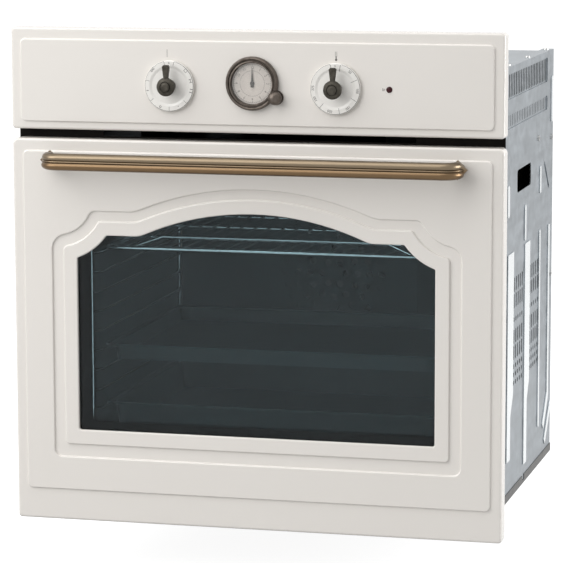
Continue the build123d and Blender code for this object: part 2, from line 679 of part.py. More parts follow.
def dial(x):
    """Printed dial disc with a flat rim and a shallow dish, on its shaft."""
    back = FIELD_Y - DIAL_GAP
    front = back - DIAL_T
    profile = [(SHAFT_R + SHAFT_FIT, back), (DIAL_R - 0.8, back), (DIAL_R, back - 0.8),
               (DIAL_R, front + 1.0), (DIAL_R - 1.0, front), (DISH_R + 0.6, front),
               (DISH_R - 2.4, front + DISH_DEPTH), (SHAFT_R + SHAFT_FIT, front + DISH_DEPTH)]
    return turned(profile, x, DIAL_Z)


def lever(x):
    """Turned hub, wide in front on a narrow neck, with a flared finger that points up at rest."""
    seat = FIELD_Y - DIAL_GAP - DIAL_T + DISH_DEPTH
    front = FACE_Y - HUB_REACH
    profile = [(0, seat), (HUB_NECK_R + 1.6, seat), (HUB_NECK_R + 1.6, seat - 1.4), (HUB_NECK_R, seat - 3.0),
               (HUB_NECK_R, front + 9.5), (HUB_R - 1.2, front + 6.6), (HUB_R, front + 5.2),
               (HUB_R, front + 3.6), (HUB_R - 1.4, front + 1.9), (6.6, front + 1.2), (6.2, front + 2.0),
               (5.6, front + 2.0), (5.2, front + 0.4), (3.0, front), (0, front)]
    hub = turned(profile, x, DIAL_Z)
    finger = outline((-LEVER_NECK / 2, 0), (-LEVER_NECK / 2, HUB_R), (-LEVER_TIP / 2, LEVER_REACH - 2),
                     (-LEVER_TIP / 2 + 1.6, LEVER_REACH), (LEVER_TIP / 2 - 1.6, LEVER_REACH),
                     (LEVER_TIP / 2, LEVER_REACH - 2), (LEVER_NECK / 2, HUB_R), (LEVER_NECK / 2, 0))
    arm = plate(Pos(x, DIAL_Z) * finger, front + 2.8, front + 2.8 + LEVER_T)
    arm = fillet(arm.faces().sort_by(Axis.Y)[0].edges().filter_by(Axis.X, reverse=True), 0.8)
    return hub + arm - rod_y(SHAFT_R + SHAFT_FIT, x, DIAL_Z, seat + 1, front + 4)


def shaft(x):
    """Steel shaft from the lever through the panel into the switch."""
    return rod_y(SHAFT_R, x, DIAL_Z, FACE_Y - HUB_REACH + 4.2, 12)


def switch_body(x, half_w, drop, depth):
    """Rotary switch or thermostat behind its bracket, with a threaded bush round the shaft."""
    low, high = DIAL_Z - drop, DIAL_Z + SWITCH_RISE
    body = block(x - half_w, x + half_w, BRACKET_BACK_Y, depth, low, high)
    body += rod_y(SHAFT_R + 2, x, DIAL_Z, BRACKET_Y - 6, BRACKET_BACK_Y + 1)
    body -= rod_y(SHAFT_R + SHAFT_FIT, x, DIAL_Z, BRACKET_Y - 7, 14)
    for step in (-1, 0, 1):
        body += block(x + step * 10 - 3, x + step * 10 + 3, depth - 1, depth + 8, low + 6, low + 6.8)
    return body


def clock_module():
    """Clock movement behind the dial, with the guide of the setting stem."""
    high = CLOCK_Z + 6
    body = block(-32, 34, BRACKET_BACK_Y, 24, high - CLOCK_BODY_H, high)
    body += rod_y(6, 0, CLOCK_Z, CLOCK_DIAL_Y + 0.8, BRACKET_BACK_Y + 1)
    body -= rod_y(HOUR_TUBE_R + ARBOR_FIT, 0, CLOCK_Z, CLOCK_DIAL_Y - 1, -13)
    body -= rod_y(ARBOR_R + ARBOR_FIT, 0, CLOCK_Z, -14, -8)
    return body - rod_y(STEM_R + SHAFT_FIT, KNOB_X, KNOB_Z, BRACKET_BACK_Y - 1, 8)


def clock_bezel():
    """Stepped bronze ring with a seat for the dial and the glass and a notch for the setting knob."""
    f = FIELD_Y
    top = f - BEZEL_RISE
    r = CLOCK_FACE_R
    profile = [(BEZEL_R, f), (BEZEL_R, f - 4.0), (BEZEL_R - 0.9, f - 6.4), (BEZEL_R - 2.2, top),
               (BEZEL_R - 3.5, f - 6.6), (BEZEL_R - 4.2, f - 4.9), (r + 2.1, f - 4.9), (r + 1.6, f - 6.3),
               (r + 0.7, f - 6.5), (r, f - 5.6), (r, f - 3.2), (r - 0.6, f - 3.2), (r - 0.6, f - 1.3),
               (r + 1.3, f - 1.3), (r + 1.3, f)]
    ring = turned(profile, 0, CLOCK_Z)
    ring -= rod_y(KNOB_R + 0.5, KNOB_X, KNOB_Z, KNOB_BACK_Y + KNOB_TRAVEL + 0.3, top - 1)
    lug = rod_y(KNOB_R + 0.5, KNOB_X, KNOB_Z, KNOB_BACK_Y + KNOB_TRAVEL + 0.3, f)
    lug -= rod_y(r + 1.3, 0, CLOCK_Z, f + 1, top - 1)
    return ring + lug - rod_y(STEM_R + 0.3, KNOB_X, KNOB_Z, f + 1, top)


def clock_dial():
    """Clock face, held in the bezel's rebate."""
    disc = rod_y(CLOCK_FACE_R + 1.2, 0, CLOCK_Z, CLOCK_DIAL_Y, CLOCK_DIAL_Y + 0.8)
    return disc - rod_y(HOUR_TUBE_R + ARBOR_FIT, 0, CLOCK_Z, CLOCK_DIAL_Y - 1, CLOCK_DIAL_Y + 2)


def clock_glass():
    """Slightly domed glass over the hands."""
    back = FIELD_Y - 3.2
    r = CLOCK_FACE_R - 0.1
    profile = [(0, back), (r, back), (r, back - 1.2), (r * 0.7, back - 1.9), (r * 0.35, back - 2.2),
               (0, back - 2.3)]
    return turned(profile, 0, CLOCK_Z)


def hand(length, tail, width, y_front, y_rear, hub_r):
    """Tapered clock hand pointing up at rest."""
    face = outline((-width / 2, -tail), (width / 2, -tail), (0.25, length), (-0.25, length))
    face += Circle(hub_r)
    return plate(Pos(0, CLOCK_Z) * face, y_front, y_rear)


def minute_hand():
    """Long hand and its arbor, which turns inside the hour hand's tube."""
    blade = hand(17.5, 4.6, 3.2, CLOCK_DIAL_Y - 1.3, CLOCK_DIAL_Y - 0.9, 2.0)
    return blade + rod_y(ARBOR_R, 0, CLOCK_Z, CLOCK_DIAL_Y - 1.1, -9)


def hour_hand():
    """Short hand and its tube, which turns in the movement."""
    blade = hand(12.0, 3.5, 4.4, CLOCK_DIAL_Y - 0.6, CLOCK_DIAL_Y - 0.2, 2.6)
    blade += rod_y(HOUR_TUBE_R, 0, CLOCK_Z, CLOCK_DIAL_Y - 0.3, -15)
    return blade - rod_y(ARBOR_R + ARBOR_FIT, 0, CLOCK_Z, CLOCK_DIAL_Y - 2, 0)


def clock_stem():
    """Setting stem, which is pushed in and turned."""
    return rod_y(STEM_R, KNOB_X, KNOB_Z, KNOB_BACK_Y - 5, 4)


def clock_knob():
    """Ball-shaped bronze knob on the end of the setting stem."""
    ball = Pos(KNOB_X, KNOB_BACK_Y - KNOB_REACH, KNOB_Z) * Sphere(KNOB_R)
    ball -= block(KNOB_X - 10, KNOB_X + 10, KNOB_BACK_Y, KNOB_BACK_Y + 12, KNOB_Z - 10, KNOB_Z + 10)
    return ball - rod_y(STEM_R + SHAFT_FIT, KNOB_X, KNOB_Z, KNOB_BACK_Y + 1, KNOB_BACK_Y - 5.2)


def pilot_lamp():
    """Red lens of the heating lamp, with its holder against the bracket."""
    f = FIELD_Y
    profile = [(0, f - 1.8), (PILOT_R * 0.6, f - 1.5), (PILOT_R, f - 0.6), (PILOT_R, FIELD_BACK_Y),
               (5.0, FIELD_BACK_Y), (5.0, BRACKET_Y), (0, BRACKET_Y)]
    return turned(profile, PILOT_X, DIAL_Z)


def panel_bracket():
    """Folded bracket behind the control panel that carries the switches and the clock."""
    low, high = PANEL_LOW + 5, PANEL_TOP - 9
    half = BODY_W / 2 - 22
    body = block(-half, half, BRACKET_Y, BRACKET_BACK_Y, low, high)
    flanges = []
    for z in (low, high - BRACKET_T):
        flanges.append(block(-half, half, BORDER_BACK_Y, BRACKET_BACK_Y, z, z + BRACKET_T))
    feet = []
    for s in (-1, 1):
        for rise in BRACKET_FEET:
            z = PANEL_LOW + rise
            feet.append(block(s * half - s * 14, s * half, BRACKET_Y, -FRAME_T, z - 5, z + 5))
    body = body.fuse(*flanges, *feet)
    for x in (-DIAL_X, DIAL_X):
        body -= rod_y(SHAFT_R + 2.2, x, DIAL_Z, BRACKET_Y - 1, BRACKET_BACK_Y + 1)
    body -= rod_y(6.3, 0, CLOCK_Z, BRACKET_Y - 1, BRACKET_BACK_Y + 1)
    return body - rod_y(STEM_R + 0.5, KNOB_X, KNOB_Z, BRACKET_Y - 1, BRACKET_BACK_Y + 1)


# Body

def front_frame():
    """Black pressed frame: flange against the cabinet, deep recess for the door, cavity mouth."""
    t = FRAME_T
    half, inner = RECESS_W / 2, RECESS_W / 2 - t
    body = block(-FLANGE_W / 2, FLANGE_W / 2, -t, 0, SHEET, BODY_H)
    body -= block(-inner, inner, -t - 1, 1, RECESS_LOW + t, RECESS_HIGH - t)
    box = block(-half, half, -t, RECESS_D, RECESS_LOW, RECESS_HIGH)
    body += box - block(-inner, inner, -t - 1, RECESS_D - t, RECESS_LOW + t, RECESS_HIGH - t)
    mouth = area(-CAVITY_W / 2, CAVITY_W / 2, CAVITY_LOW, CAVITY_HIGH, CAVITY_R)
    body -= plate(mouth, RECESS_D - t - 1, RECESS_D + 1)
    body -= block(-190, 190, -t - 1, 1, RECESS_HIGH + 4, PANEL_LOW - 2)
    body -= block(-200, 200, -t - 1, 1, PANEL_LOW + 12, BODY_H - 3)
    for s in (-1, 1):
        x = s * HINGE_X
        body -= block(x - 5, x + 5, RECESS_D - t - 1, RECESS_D + 1, ARM_LOW - 2, ARM_HIGH + 4)
        for z in (CABINET_SCREW_LOW, CABINET_SCREW_HIGH):
            body -= rod_y(CABINET_SCREW_R, s * CABINET_SCREW_X, z, -t - 1, 1)
    return drilled_for_screws(body)


def cavity_face(grow, low=0.0, high=0.0):
    """Cavity's cross section, grown on every side and by more at the bottom or top."""
    half = CAVITY_W / 2 + grow
    return area(-half, half, CAVITY_LOW - grow - low, CAVITY_HIGH + grow + high, CAVITY_R + grow)


def cavity():
    """Enamelled cavity with its front flange and the holes in its rear wall."""
    shell = plate(cavity_face(CAVITY_T), RECESS_D, CAVITY_REAR + CAVITY_T)
    shell += plate(cavity_face(CAVITY_FLANGE), RECESS_D, RECESS_D + CAVITY_T)
    shell -= plate(cavity_face(0), RECESS_D - 1, CAVITY_REAR)
    rear = (CAVITY_REAR - 2, CAVITY_REAR + CAVITY_T + 2)
    shell -= rod_y(SHAFT_R + 3, 0, FAN_Z, *rear)
    shell -= rod_y(LAMP_R - 5, LAMP_X, LAMP_Z, *rear)
    shell -= rod_y(3.0, SENSOR_X, SENSOR_Z, *rear)
    for s in (-1, 1):
        shell -= rod_y(HEATER_R + 0.8, s * HEATER_LEG_X, GRILL_Z, *rear)
        shell -= rod_y(HEATER_R + 0.8, s * HEATER_LEG_X, RING_LEG_Z, *rear)
    return shell


def insulation():
    """Mineral wool blanket round the cavity, open in front."""
    t = WOOL_T
    body = plate(cavity_face(CAVITY_T + WOOL_GAP + t, 12.0), WOOL_FRONT, WOOL_REAR + t - 4)
    room = area(-WOOL_X, WOOL_X, WOOL_LOW, WOOL_HIGH, CAVITY_R)
    body -= plate(room, WOOL_FRONT - 1, WOOL_REAR)
    rear = (WOOL_REAR - 2, WOOL_REAR + t)
    body -= rod_y(37, 0, FAN_Z, *rear)
    body -= rod_y(LAMP_R, LAMP_X, LAMP_Z, *rear)
    body -= rod_y(4.0, SENSOR_X, SENSOR_Z, *rear)
    for s in (-1, 1):
        for z in (GRILL_Z, RING_LEG_Z, BOTTOM_HEATER_Z):
            body -= rod_y(HEATER_R + 1.5, s * HEATER_LEG_X, z, *rear)
    return body


def door_seal():
    """Silicone seal round the cavity mouth."""
    half = CAVITY_W / 2 + SEAL_MARGIN
    low, high = CAVITY_LOW - SEAL_MARGIN, CAVITY_HIGH + SEAL_MARGIN
    y = RECESS_D - FRAME_T - 0.3 - SEAL_R
    ring = area(-half - SEAL_R, half + SEAL_R, low - SEAL_R, high + SEAL_R, CAVITY_R + SEAL_R)
    hole = area(-half + SEAL_R, half - SEAL_R, low + SEAL_R, high - SEAL_R, CAVITY_R - SEAL_R)
    body = plate(ring - hole, y - SEAL_R, y + SEAL_R)
    long_edges = body.edges().filter_by(lambda e: abs(e.center().Y - y) > SEAL_R - 0.01)
    return fillet(long_edges, SEAL_R * 0.8)


def base_panel():
    """Folded base tray with side lips outside the side panels."""
    half = BODY_W / 2
    plate_area = area(-half, half, -FRAME_T, BODY_D)
    for x in range(-160, 161, 64):
        for y in (120, 250, 380):
            plate_area -= area(x - 18, x + 18, y - 3, y + 3, 2.9)
    body = level_plate(plate_area, 0, SHEET)
    for s in (-1, 1):
        lip = block(s * (half - SHEET), s * half, 0, BODY_D, 0, BASE_LIP_H)
        lip -= block(s * (half - 3), s * (half + 1), 266, 280, 4, BASE_LIP_H + 1)
        body += lip
    return body + block(-half + 20, half - 20, BODY_D - SHEET, BODY_D, 0, BASE_LIP_H)


def pressed(panel, face, rise):
    """Rib pressed out of the right side panel, or into it where the rise is negative."""
    small = offset(face, amount=-SHEET, kind=Kind.INTERSECTION)
    if rise > 0:
        panel += side_plate(face, BODY_X, BODY_X + rise)
        return panel - side_plate(small, BODY_X - SHEET - 1, BODY_X + rise - SHEET)
    panel += side_plate(face, BODY_X - SHEET + rise, BODY_X - SHEET / 2)
    return panel - side_plate(small, BODY_X + rise, BODY_X + 1)


def side_panel():
    """Right galvanised side panel with ribs, louvres, vent slots and the grab hole."""
    face = area(0, BODY_D, SHEET, BODY_H)
    face -= area(GRAB_FRONT, GRAB_REAR, GRAB_LOW, GRAB_HIGH, 5)
    body = side_plate(face, BODY_X - SHEET, BODY_X)
    body += block(BODY_X - 14, BODY_X, 0, BODY_D, BODY_H - SHEET, BODY_H)
    body += block(BODY_X - 14, BODY_X, BODY_D - SHEET, BODY_D, SHEET, BODY_H)
    band_rear = LOUVRE_FRONT + LOUVRES * LOUVRE_PITCH + 2
    body = pressed(body, area(LOUVRE_FRONT - 3, band_rear, LOUVRE_LOW, LOUVRE_HIGH, 5), -BAND_DEPTH)
    rear, band_top = BODY_D, BODY_H - BAND_DROP
    body = pressed(body, area(LOUVRE_FRONT - 5, rear - 45, band_top - BAND_H, band_top, 6), -BAND_DEPTH)
    body = pressed(body, outline((413, 389), (419, 395), (456, 358), (450, 352)), -BAND_DEPTH)
    ribs = [area(145, 158, 352, 391, 5), area(267, 276, 309, 354, 4), area(376, 384, 51, 309, 3.5),
            area(377, 386, 356, 391, 4), area(rear - 20, rear - 10, BODY_H - 94, BODY_H - 34, 4)]
    ribs.append(outline((150, 306), (190, 306), (190, 128), (172, 104), (172, 50), (150, 50)))
    ribs.append(outline((270, 305), (306, 305), (306, 128), (290, 104), (290, 24), (270, 24)))
    ribs.append(outline((rear - 36, 307), (rear - 26, 307), (rear - 26, 80), (rear - 61, 41), (rear - 69, 48),
                        (rear - 36, 85)))
    ribs.append(outline((rear - 12, 69), (rear - 5, 62), (rear - 48, 18), (rear - 55, 25)))
    for rib in ribs:
        body = pressed(body, rib, RIB_RISE)
    holes = []
    for index in range(LOUVRES):
        y = LOUVRE_FRONT + 3 + index * LOUVRE_PITCH
        holes.append(area(y, y + LOUVRE_W, LOUVRE_LOW + LOUVRE_EDGE, LOUVRE_HIGH - LOUVRE_EDGE, 1.5))
        holes.append(area(y, y + BAND_SLOT_W, band_top - BAND_H + BAND_EDGE, band_top - BAND_EDGE, 1.2))
    for column in VENT_COLUMNS:
        for index in range(VENT_SLOTS):
            y = column + index * VENT_PITCH
            holes.extend(area(y, y + VENT_W, z, z + TALL_H, 2.5) for z in TALL_ROWS)
            holes.extend(area(y, y + VENT_W, z, z + SMALL_H, 2.5) for z in SMALL_ROWS)
    holes.extend(Pos(y, z) * Circle(SIDE_SCREW_R + SCREW_ROOM) for y, z in SIDE_SCREWS)
    cutters = [side_plate(hole, BODY_X - 4, BODY_X + 3) for hole in holes]
    return body.cut(*cutters)


def top_panel():
    """Top cover under the side panels' flanges, with rows of vent slots."""
    face = area(-TOP_X, TOP_X, 0.3, BACK_Y)
    for x in range(-200, 201, 50):
        for y in (BLOWER_Y, BLOWER_Y + 40, BLOWER_Y + 80):
            face -= area(x - 18, x + 18, y - 3, y + 3, 2.9)
    return level_plate(face, BODY_H - 2 * SHEET, BODY_H - SHEET)


def back_panel():
    """Rear cover with the bulge over the fan motor and vent slots above it."""
    y = BACK_Y
    face = area(-TOP_X, TOP_X, SHEET + 0.3, BODY_H - 2 * SHEET - 0.3)
    face -= Pos(0, FAN_Z) * Circle(BULGE_R - SHEET)
    for x in range(-60, 241, 30):
        for drop in REAR_VENT_DROPS:
            face -= area(x - 10, x + 10, BODY_H - drop, BODY_H - drop + REAR_VENT_H, 2.9)
    face -= area(TERMINAL_X - 16, TERMINAL_X + 16, TERMINAL_LOW + 8, TERMINAL_TOP - 10, 3)
    body = plate(face, y, y + SHEET)
    bulge = rod_y(BULGE_R, 0, FAN_Z, y, BODY_D - 1)
    bulge = fillet(bulge.faces().sort_by(Axis.Y)[-1].edges(), 6)
    room = rod_y(BULGE_R - SHEET, 0, FAN_Z, y - 1, BODY_D - 1 - SHEET)
    room = fillet(room.faces().sort_by(Axis.Y)[-1].edges(), 5)
    body += bulge - room
    for index in range(12):
        turn = index * 30
        slot = Pos(0, 0, FAN_Z) * Rot(0, turn, 0) * Pos(46, BODY_D, 0) * Box(16, 10, 5)
        body -= slot
    flanges = [block(s * TOP_X, s * (TOP_X - SHEET), y, y + 14, 20, BODY_H - 20) for s in (-1, 1)]
    return drilled_for_screws(body.fuse(*flanges))


def chassis_screws():
    """Pan head screws of the side panels, both sides."""
    screws = []
    for y, z in SIDE_SCREWS:
        screw = rod_x(SIDE_SCREW_R * 2, BODY_X, BODY_X + 2, y, z)
        screw += rod_x(SIDE_SCREW_R, BODY_X - 6, BODY_X + 0.5, y, z)
        screw -= rod_x(SIDE_SCREW_R * 0.7, BODY_X + 1, BODY_X + 3, y, z)
        screws.extend(both_sides(screw))
    return screws


# Inside the cavity

def side_rail():
    """Right chrome wire rack: two uprights and nine runners bent in towards the shelf."""
    top = RAIL_LOW + (RAIL_LEVELS - 1) * RAIL_PITCH + 18
    low = RAIL_LOW - 18
    wires = [rod_z(RAIL_R, RAIL_X, y, low, top) for y in (RAIL_FRONT_Y, RAIL_REAR_Y)]
    for level in range(RAIL_LEVELS):
        z = RAIL_LOW + level * RAIL_PITCH
        points = [(RAIL_X, RAIL_FRONT_Y, z), (RAIL_X, RAIL_FRONT_Y + 8, z),
                  (RAIL_INNER_X, RAIL_FRONT_Y + 20, z), (RAIL_INNER_X, RAIL_REAR_Y - 20, z),
                  (RAIL_X, RAIL_REAR_Y - 8, z), (RAIL_X, RAIL_REAR_Y, z)]
        wires.append(bent_wire(points, 5, RUNNER_R))
    for y in (RAIL_FRONT_Y, RAIL_REAR_Y):
        for z in (low + 8, top - 8):
            wires.append(rod_x(RUNNER_R, RAIL_X, CAVITY_W / 2, y, z))
    return fused(wires)


def tray(level, height):
    """Enamelled baking tray whose rim rests on a pair of runners."""
    rim_z = RAIL_LOW + level * RAIL_PITCH + RUNNER_R + 0.3
    half = TRAY_W / 2
    wall_half = RAIL_INNER_X - RAIL_R - 4
    front, back = TRAY_FRONT_Y, TRAY_REAR_Y
    rim = level_plate(area(-half, half, front, back, 14), rim_z, rim_z + TRAY_T)
    wall = half - wall_half
    pan_face = area(-wall_half, wall_half, front + wall, back - wall, 16)
    pan = extrude(Plane.XY.offset(rim_z) * pan_face, height - TRAY_T, dir=(0, 0, -1), taper=TRAY_TAPER)
    room_plane = Plane.XY.offset(rim_z + TRAY_T + 0.01)
    room_face = offset(pan_face, amount=-TRAY_T)
    room = extrude(room_plane * room_face, height - TRAY_T, dir=(0, 0, -1), taper=TRAY_TAPER)
    lip = level_plate(area(-half, half, front, back, 14), rim_z, rim_z + 3)
    lip -= level_plate(area(-half + 1.2, half - 1.2, front + 1.2, back - 1.2, 13), rim_z - 1, rim_z + 4)
    return rim + pan + lip - room


def wire_shelf():
    """Chrome wire shelf with a raised front rim."""
    z = RAIL_LOW + SHELF_LEVEL * RAIL_PITCH + RUNNER_R + 0.3 + SHELF_SIDE_R
    side_x = RAIL_INNER_X - 0.5
    front, back = TRAY_FRONT_Y + 2, TRAY_REAR_Y - 4
    r = SHELF_SIDE_R
    frame = [bent_wire([(0, front, z), (-side_x, front, z), (-side_x, back, z), (0, back, z)], 16, r),
             bent_wire([(0, front, z), (side_x, front, z), (side_x, back, z), (0, back, z)], 16, r)]
    for y in (front + 100, front + 210):
        frame.append(rod_x(SHELF_CROSS_R, -side_x, side_x, y, z))
    each_side = int((side_x - SHELF_EDGE_ROOM) / SHELF_PITCH)
    for index in range(-each_side, each_side + 1):
        frame.append(rod_y(SHELF_WIRE_R, index * SHELF_PITCH, z + 1.6, front, back))
    rise = SHELF_RIM_RISE
    low_x, high_x = side_x - 32.5, side_x - 69.5
    rim = [(-low_x, front, z), (-high_x, front + rise, z + rise), (high_x, front + rise, z + rise),
           (low_x, front, z)]
    frame.append(bent_wire(rim, 6, SHELF_RIM_R))
    return fused(frame)


def heater_loop(z, front, back, half_x, bend):
    """Tubular heating element: one loop with two legs that leave through the rear wall."""
    rear = WOOL_REAR + WOOL_T - 2
    leg = HEATER_LEG_X
    points = [(-leg, rear, z), (-leg, back, z), (-half_x, back, z), (-half_x, front, z), (half_x, front, z),
              (half_x, back, z), (leg, back, z), (leg, rear, z)]
    return bent_wire(points, bend, HEATER_R)


def grill_heater():
    """Grill element under the cavity roof, hung from two straps."""
    half = CAVITY_X - 54
    loop = heater_loop(GRILL_Z, 62, CAVITY_REAR - 64, half, 14)
    straps = []
    for x in (-half, half):
        straps.append(block(x - 5, x + 5, 198, 206, GRILL_Z + 1, CAVITY_HIGH))
    return loop.fuse(*straps)


def ring_heater():
    """Ring element round the fan, with an elbow at each end for the legs through the rear wall."""
    opening = math.asin(HEATER_LEG_X / RING_R)
    tangent = (math.cos(opening), 0, math.sin(opening))
    start = Plane(origin=(HEATER_LEG_X, RING_Y, RING_LEG_Z), x_dir=(0, 1, 0), z_dir=tangent)
    ring = revolve(start * Circle(HEATER_R), Axis((0, RING_Y, FAN_Z), (0, -1, 0)),
                   360 - 2 * math.degrees(opening))
    rear = WOOL_REAR + WOOL_T - 2
    legs = []
    for s in (-1, 1):
        legs.append(rod_y(HEATER_R, s * HEATER_LEG_X, RING_LEG_Z, RING_Y, rear))
        legs.append(Pos(s * HEATER_LEG_X, RING_Y, RING_LEG_Z) * Sphere(ELBOW_R))
    return ring.fuse(*legs)


def convection_fan():
    """Fan wheel with bent blades on its shaft."""
    y0, y1 = FAN_REAR_Y - FAN_T, FAN_REAR_Y
    wheel = rod_y(FAN_R * 0.62, 0, FAN_Z, y1 - 1.2, y1) + rod_y(9, 0, FAN_Z, y0, y1)
    blades = []
    for index in range(8):
        blade = Pos(FAN_R * 0.62, 0, 0) * Rot(0, 18, 0) * Box(FAN_R * 0.72, y1 - y0, 1.2)
        blades.append(Pos(0, (y0 + y1) / 2, FAN_Z) * Rot(0, index * 45, 0) * blade)
    wheel = wheel.fuse(*blades)
    return wheel + rod_y(SHAFT_R, 0, FAN_Z, y1 - 4, BODY_D - FAN_SHAFT_SHORT)


def fan_cover():
    """Perforated cover in front of the fan, on four spacers against the rear wall."""
    y = CAVITY_REAR - FAN_COVER_OFF_WALL
    half = FAN_COVER_W / 2
    face = area(-half, half, FAN_Z - half, FAN_Z + half, 22)
    for count, r in ((6, 16), (12, 32), (18, 48), (24, 64)):
        for index in range(count):
            turn = index * 2 * math.pi / count
            face -= Pos(r * math.cos(turn), FAN_Z + r * math.sin(turn)) * Circle(4.5)
    body = plate(face, y, y + 1.2)
    spacers = []
    for x in (-half + 10, half - 10):
        for z in (FAN_Z - half + 10, FAN_Z + half - 10):
            spacers.append(rod_y(4, x, z, y, CAVITY_REAR))
    return body.fuse(*spacers)


def convection_motor():
    """Fan motor behind the cavity, on a flange and neck."""
    y = CAVITY_REAR + CAVITY_T
    rear = BODY_D - MOTOR_REAR_ROOM
    body = rod_y(33, 0, FAN_Z, y + 18, rear) + rod_y(14, 0, FAN_Z, y, y + 19)
    body += rod_y(34, 0, FAN_Z, y, y + 1.5)
    return body - rod_y(SHAFT_R + SHAFT_FIT, 0, FAN_Z, y - 1, rear - 8)


def lamp_lens():
    """Glass dome over the oven lamp."""
    back = CAVITY_REAR
    r = LAMP_R
    outer = [(0, back - 13), (r * 0.6, back - 11), (r * 0.9, back - 6), (r, back), (r - 3, back),
             (r * 0.85 - 2, back - 4.5), (r * 0.55, back - 8.5), (0, back - 10.5)]
    return turned(outer, LAMP_X, LAMP_Z)


def lamp_housing():
    """Lamp holder behind the cavity: a cup with a ceramic socket."""
    back = CAVITY_REAR + CAVITY_T
    r = LAMP_R - 2
    cup = rod_y(r, LAMP_X, LAMP_Z, back, back + 24) - rod_y(r - 1.5, LAMP_X, LAMP_Z, back - 1, back + 22.5)
    socket = rod_y(9, LAMP_X, LAMP_Z, back + 12, back + 23)
    return cup + (socket - rod_y(6.1, LAMP_X, LAMP_Z, back + 11, back + 20))


def lamp_bulb():
    """Small oven lamp bulb in its socket."""
    back = CAVITY_REAR + CAVITY_T
    profile = [(0, back - 9), (6, back - 7.5), (9.5, back - 2), (9.5, back + 4), (6, back + 10),
               (6, back + 20), (0, back + 20)]
    return turned(profile, LAMP_X, LAMP_Z)


def temperature_sensor():
    """Probe of the thermostat under the cavity roof, with its clip."""
    front = CAVITY_REAR - 100
    rod = rod_y(2.4, SENSOR_X, SENSOR_Z, front, WOOL_REAR + WOOL_T - 2)
    return rod + block(SENSOR_X - 2, SENSOR_X + 2, front + 10, front + 22, SENSOR_Z, CAVITY_HIGH)


# Air and wiring above the insulation

def air_duct():
    """Sheet deck over the insulation with the duct that leads cooling air to the front."""
    wool_top = CAVITY_HIGH + CAVITY_T + WOOL_GAP + WOOL_T
    z = wool_top + 0.3
    t = SHEET
    half = DUCT_W / 2
    front, back = RECESS_D + 0.3, BLOWER_Y - BLOWER_D
    deck = block(-TOP_X, TOP_X, front, BACK_Y - 0.3, z, z + t)
    walls = [block(s * half, s * (half - t), front, back, z, DUCT_TOP) for s in (-1, 1)]
    return deck.fuse(block(-half, half, front, back, DUCT_TOP - t, DUCT_TOP), *walls)


def blower_housing():
    """Scroll housing of the cooling fan, on the deck, blowing forward into the duct."""
    half = BLOWER_W / 2
    low = CAVITY_HIGH + CAVITY_T + WOOL_GAP + WOOL_T + 0.3 + SHEET
    high = BODY_H - 2 * SHEET - 3
    front, back = BLOWER_Y - BLOWER_D + 0.3, BLOWER_Y + BLOWER_D
    body = block(-half, half, front, back, low, high)
    body -= rod_x(BLOWER_R + 4, -half + 1.5, half - 1.5, BLOWER_Y, BLOWER_Z)
    body -= block(-half + 1.5, half - 1.5, front - 1, BLOWER_Y, low + 3, BLOWER_Z - 20)
    body -= block(-half + 1.5, half - 1.5, BLOWER_Y, back + 1, BLOWER_Z - 6, BLOWER_Z + 24)
    return body - rod_x(SHAFT_R + SHAFT_FIT, -half - 1, half + 1, BLOWER_Y, BLOWER_Z)


def blower_rotor():
    """Drum of long blades on its shaft."""
    half = BLOWER_W / 2 - 3
    discs = [rod_x(BLOWER_R, x - 0.8, x + 0.8, BLOWER_Y, BLOWER_Z) for x in (-half + 1, 0, half - 1)]
    blades = []
    for index in range(18):
        blade = Pos(0, BLOWER_R - 4, 0) * Rot(35, 0, 0) * Box(2 * half - 2, 7, 0.8)
        blades.append(Pos(0, BLOWER_Y, BLOWER_Z) * Rot(index * 20, 0, 0) * blade)
    shaft_bar = rod_x(SHAFT_R, -half - 3, half + 30, BLOWER_Y, BLOWER_Z)
    return shaft_bar.fuse(*discs, *blades)


def blower_motor():
    """Cooling fan motor on the end of the housing."""
    x0 = BLOWER_W / 2
    body = block(x0 + 8, x0 + 46, BLOWER_Y - 24, BLOWER_Y + 24, BLOWER_Z - 26, BLOWER_Z + 26)
    body += rod_x(14, x0, x0 + 9, BLOWER_Y, BLOWER_Z)
    return body - rod_x(SHAFT_R + SHAFT_FIT, x0 - 1, x0 + 32, BLOWER_Y, BLOWER_Z)


def terminal_block():
    """Mains terminal box on the back with its cable gland pointing out to the rear."""
    y0, y1 = BACK_Y + SHEET, BODY_D - GLAND_REACH
    low, high, wall = TERMINAL_LOW, TERMINAL_TOP, TERMINAL_WALL
    gland_z = low + 14
    body = block(TERMINAL_X - 30, TERMINAL_X + 30, y0, y1, low, high)
    body -= block(TERMINAL_X - 30 + wall, TERMINAL_X + 30 - wall, y0 - 1, y1 - 3, low + wall, high - wall)
    body += rod_y(8, TERMINAL_X, gland_z, y1 - 1, BODY_D)
    return body - rod_y(GLAND_R, TERMINAL_X, gland_z, y1 - 4, BODY_D + 1)


os.makedirs("parts", exist_ok=True)
save("front_frame", front_frame())
save("cavity", cavity())
save("door_seal", door_seal())
save("insulation", insulation())
save("base_panel", base_panel())
right_panel = side_panel()
save("side_panel_right", right_panel)
save("side_panel_left", mirror(right_panel, about=Plane.YZ))
save("back_panel", back_panel())
save("top_panel", top_panel())
save("chassis_screws", *chassis_screws())
save("control_panel", control_panel())
save("panel_bracket", panel_bracket())
save("function_switch", switch_body(-DIAL_X, 22, 28, 30))
save("thermostat", switch_body(DIAL_X, 19, 20, 36))
save("clock_module", clock_module())
save("clock_bezel", clock_bezel())
save("clock_dial", clock_dial())
save("clock_glass", clock_glass())
save("minute_hand", minute_hand())
save("hour_hand", hour_hand())
save("clock_stem", clock_stem())
save("clock_knob", clock_knob())
save("pilot_lamp", pilot_lamp())
save("function_dial", dial(-DIAL_X))
save("function_lever", lever(-DIAL_X))
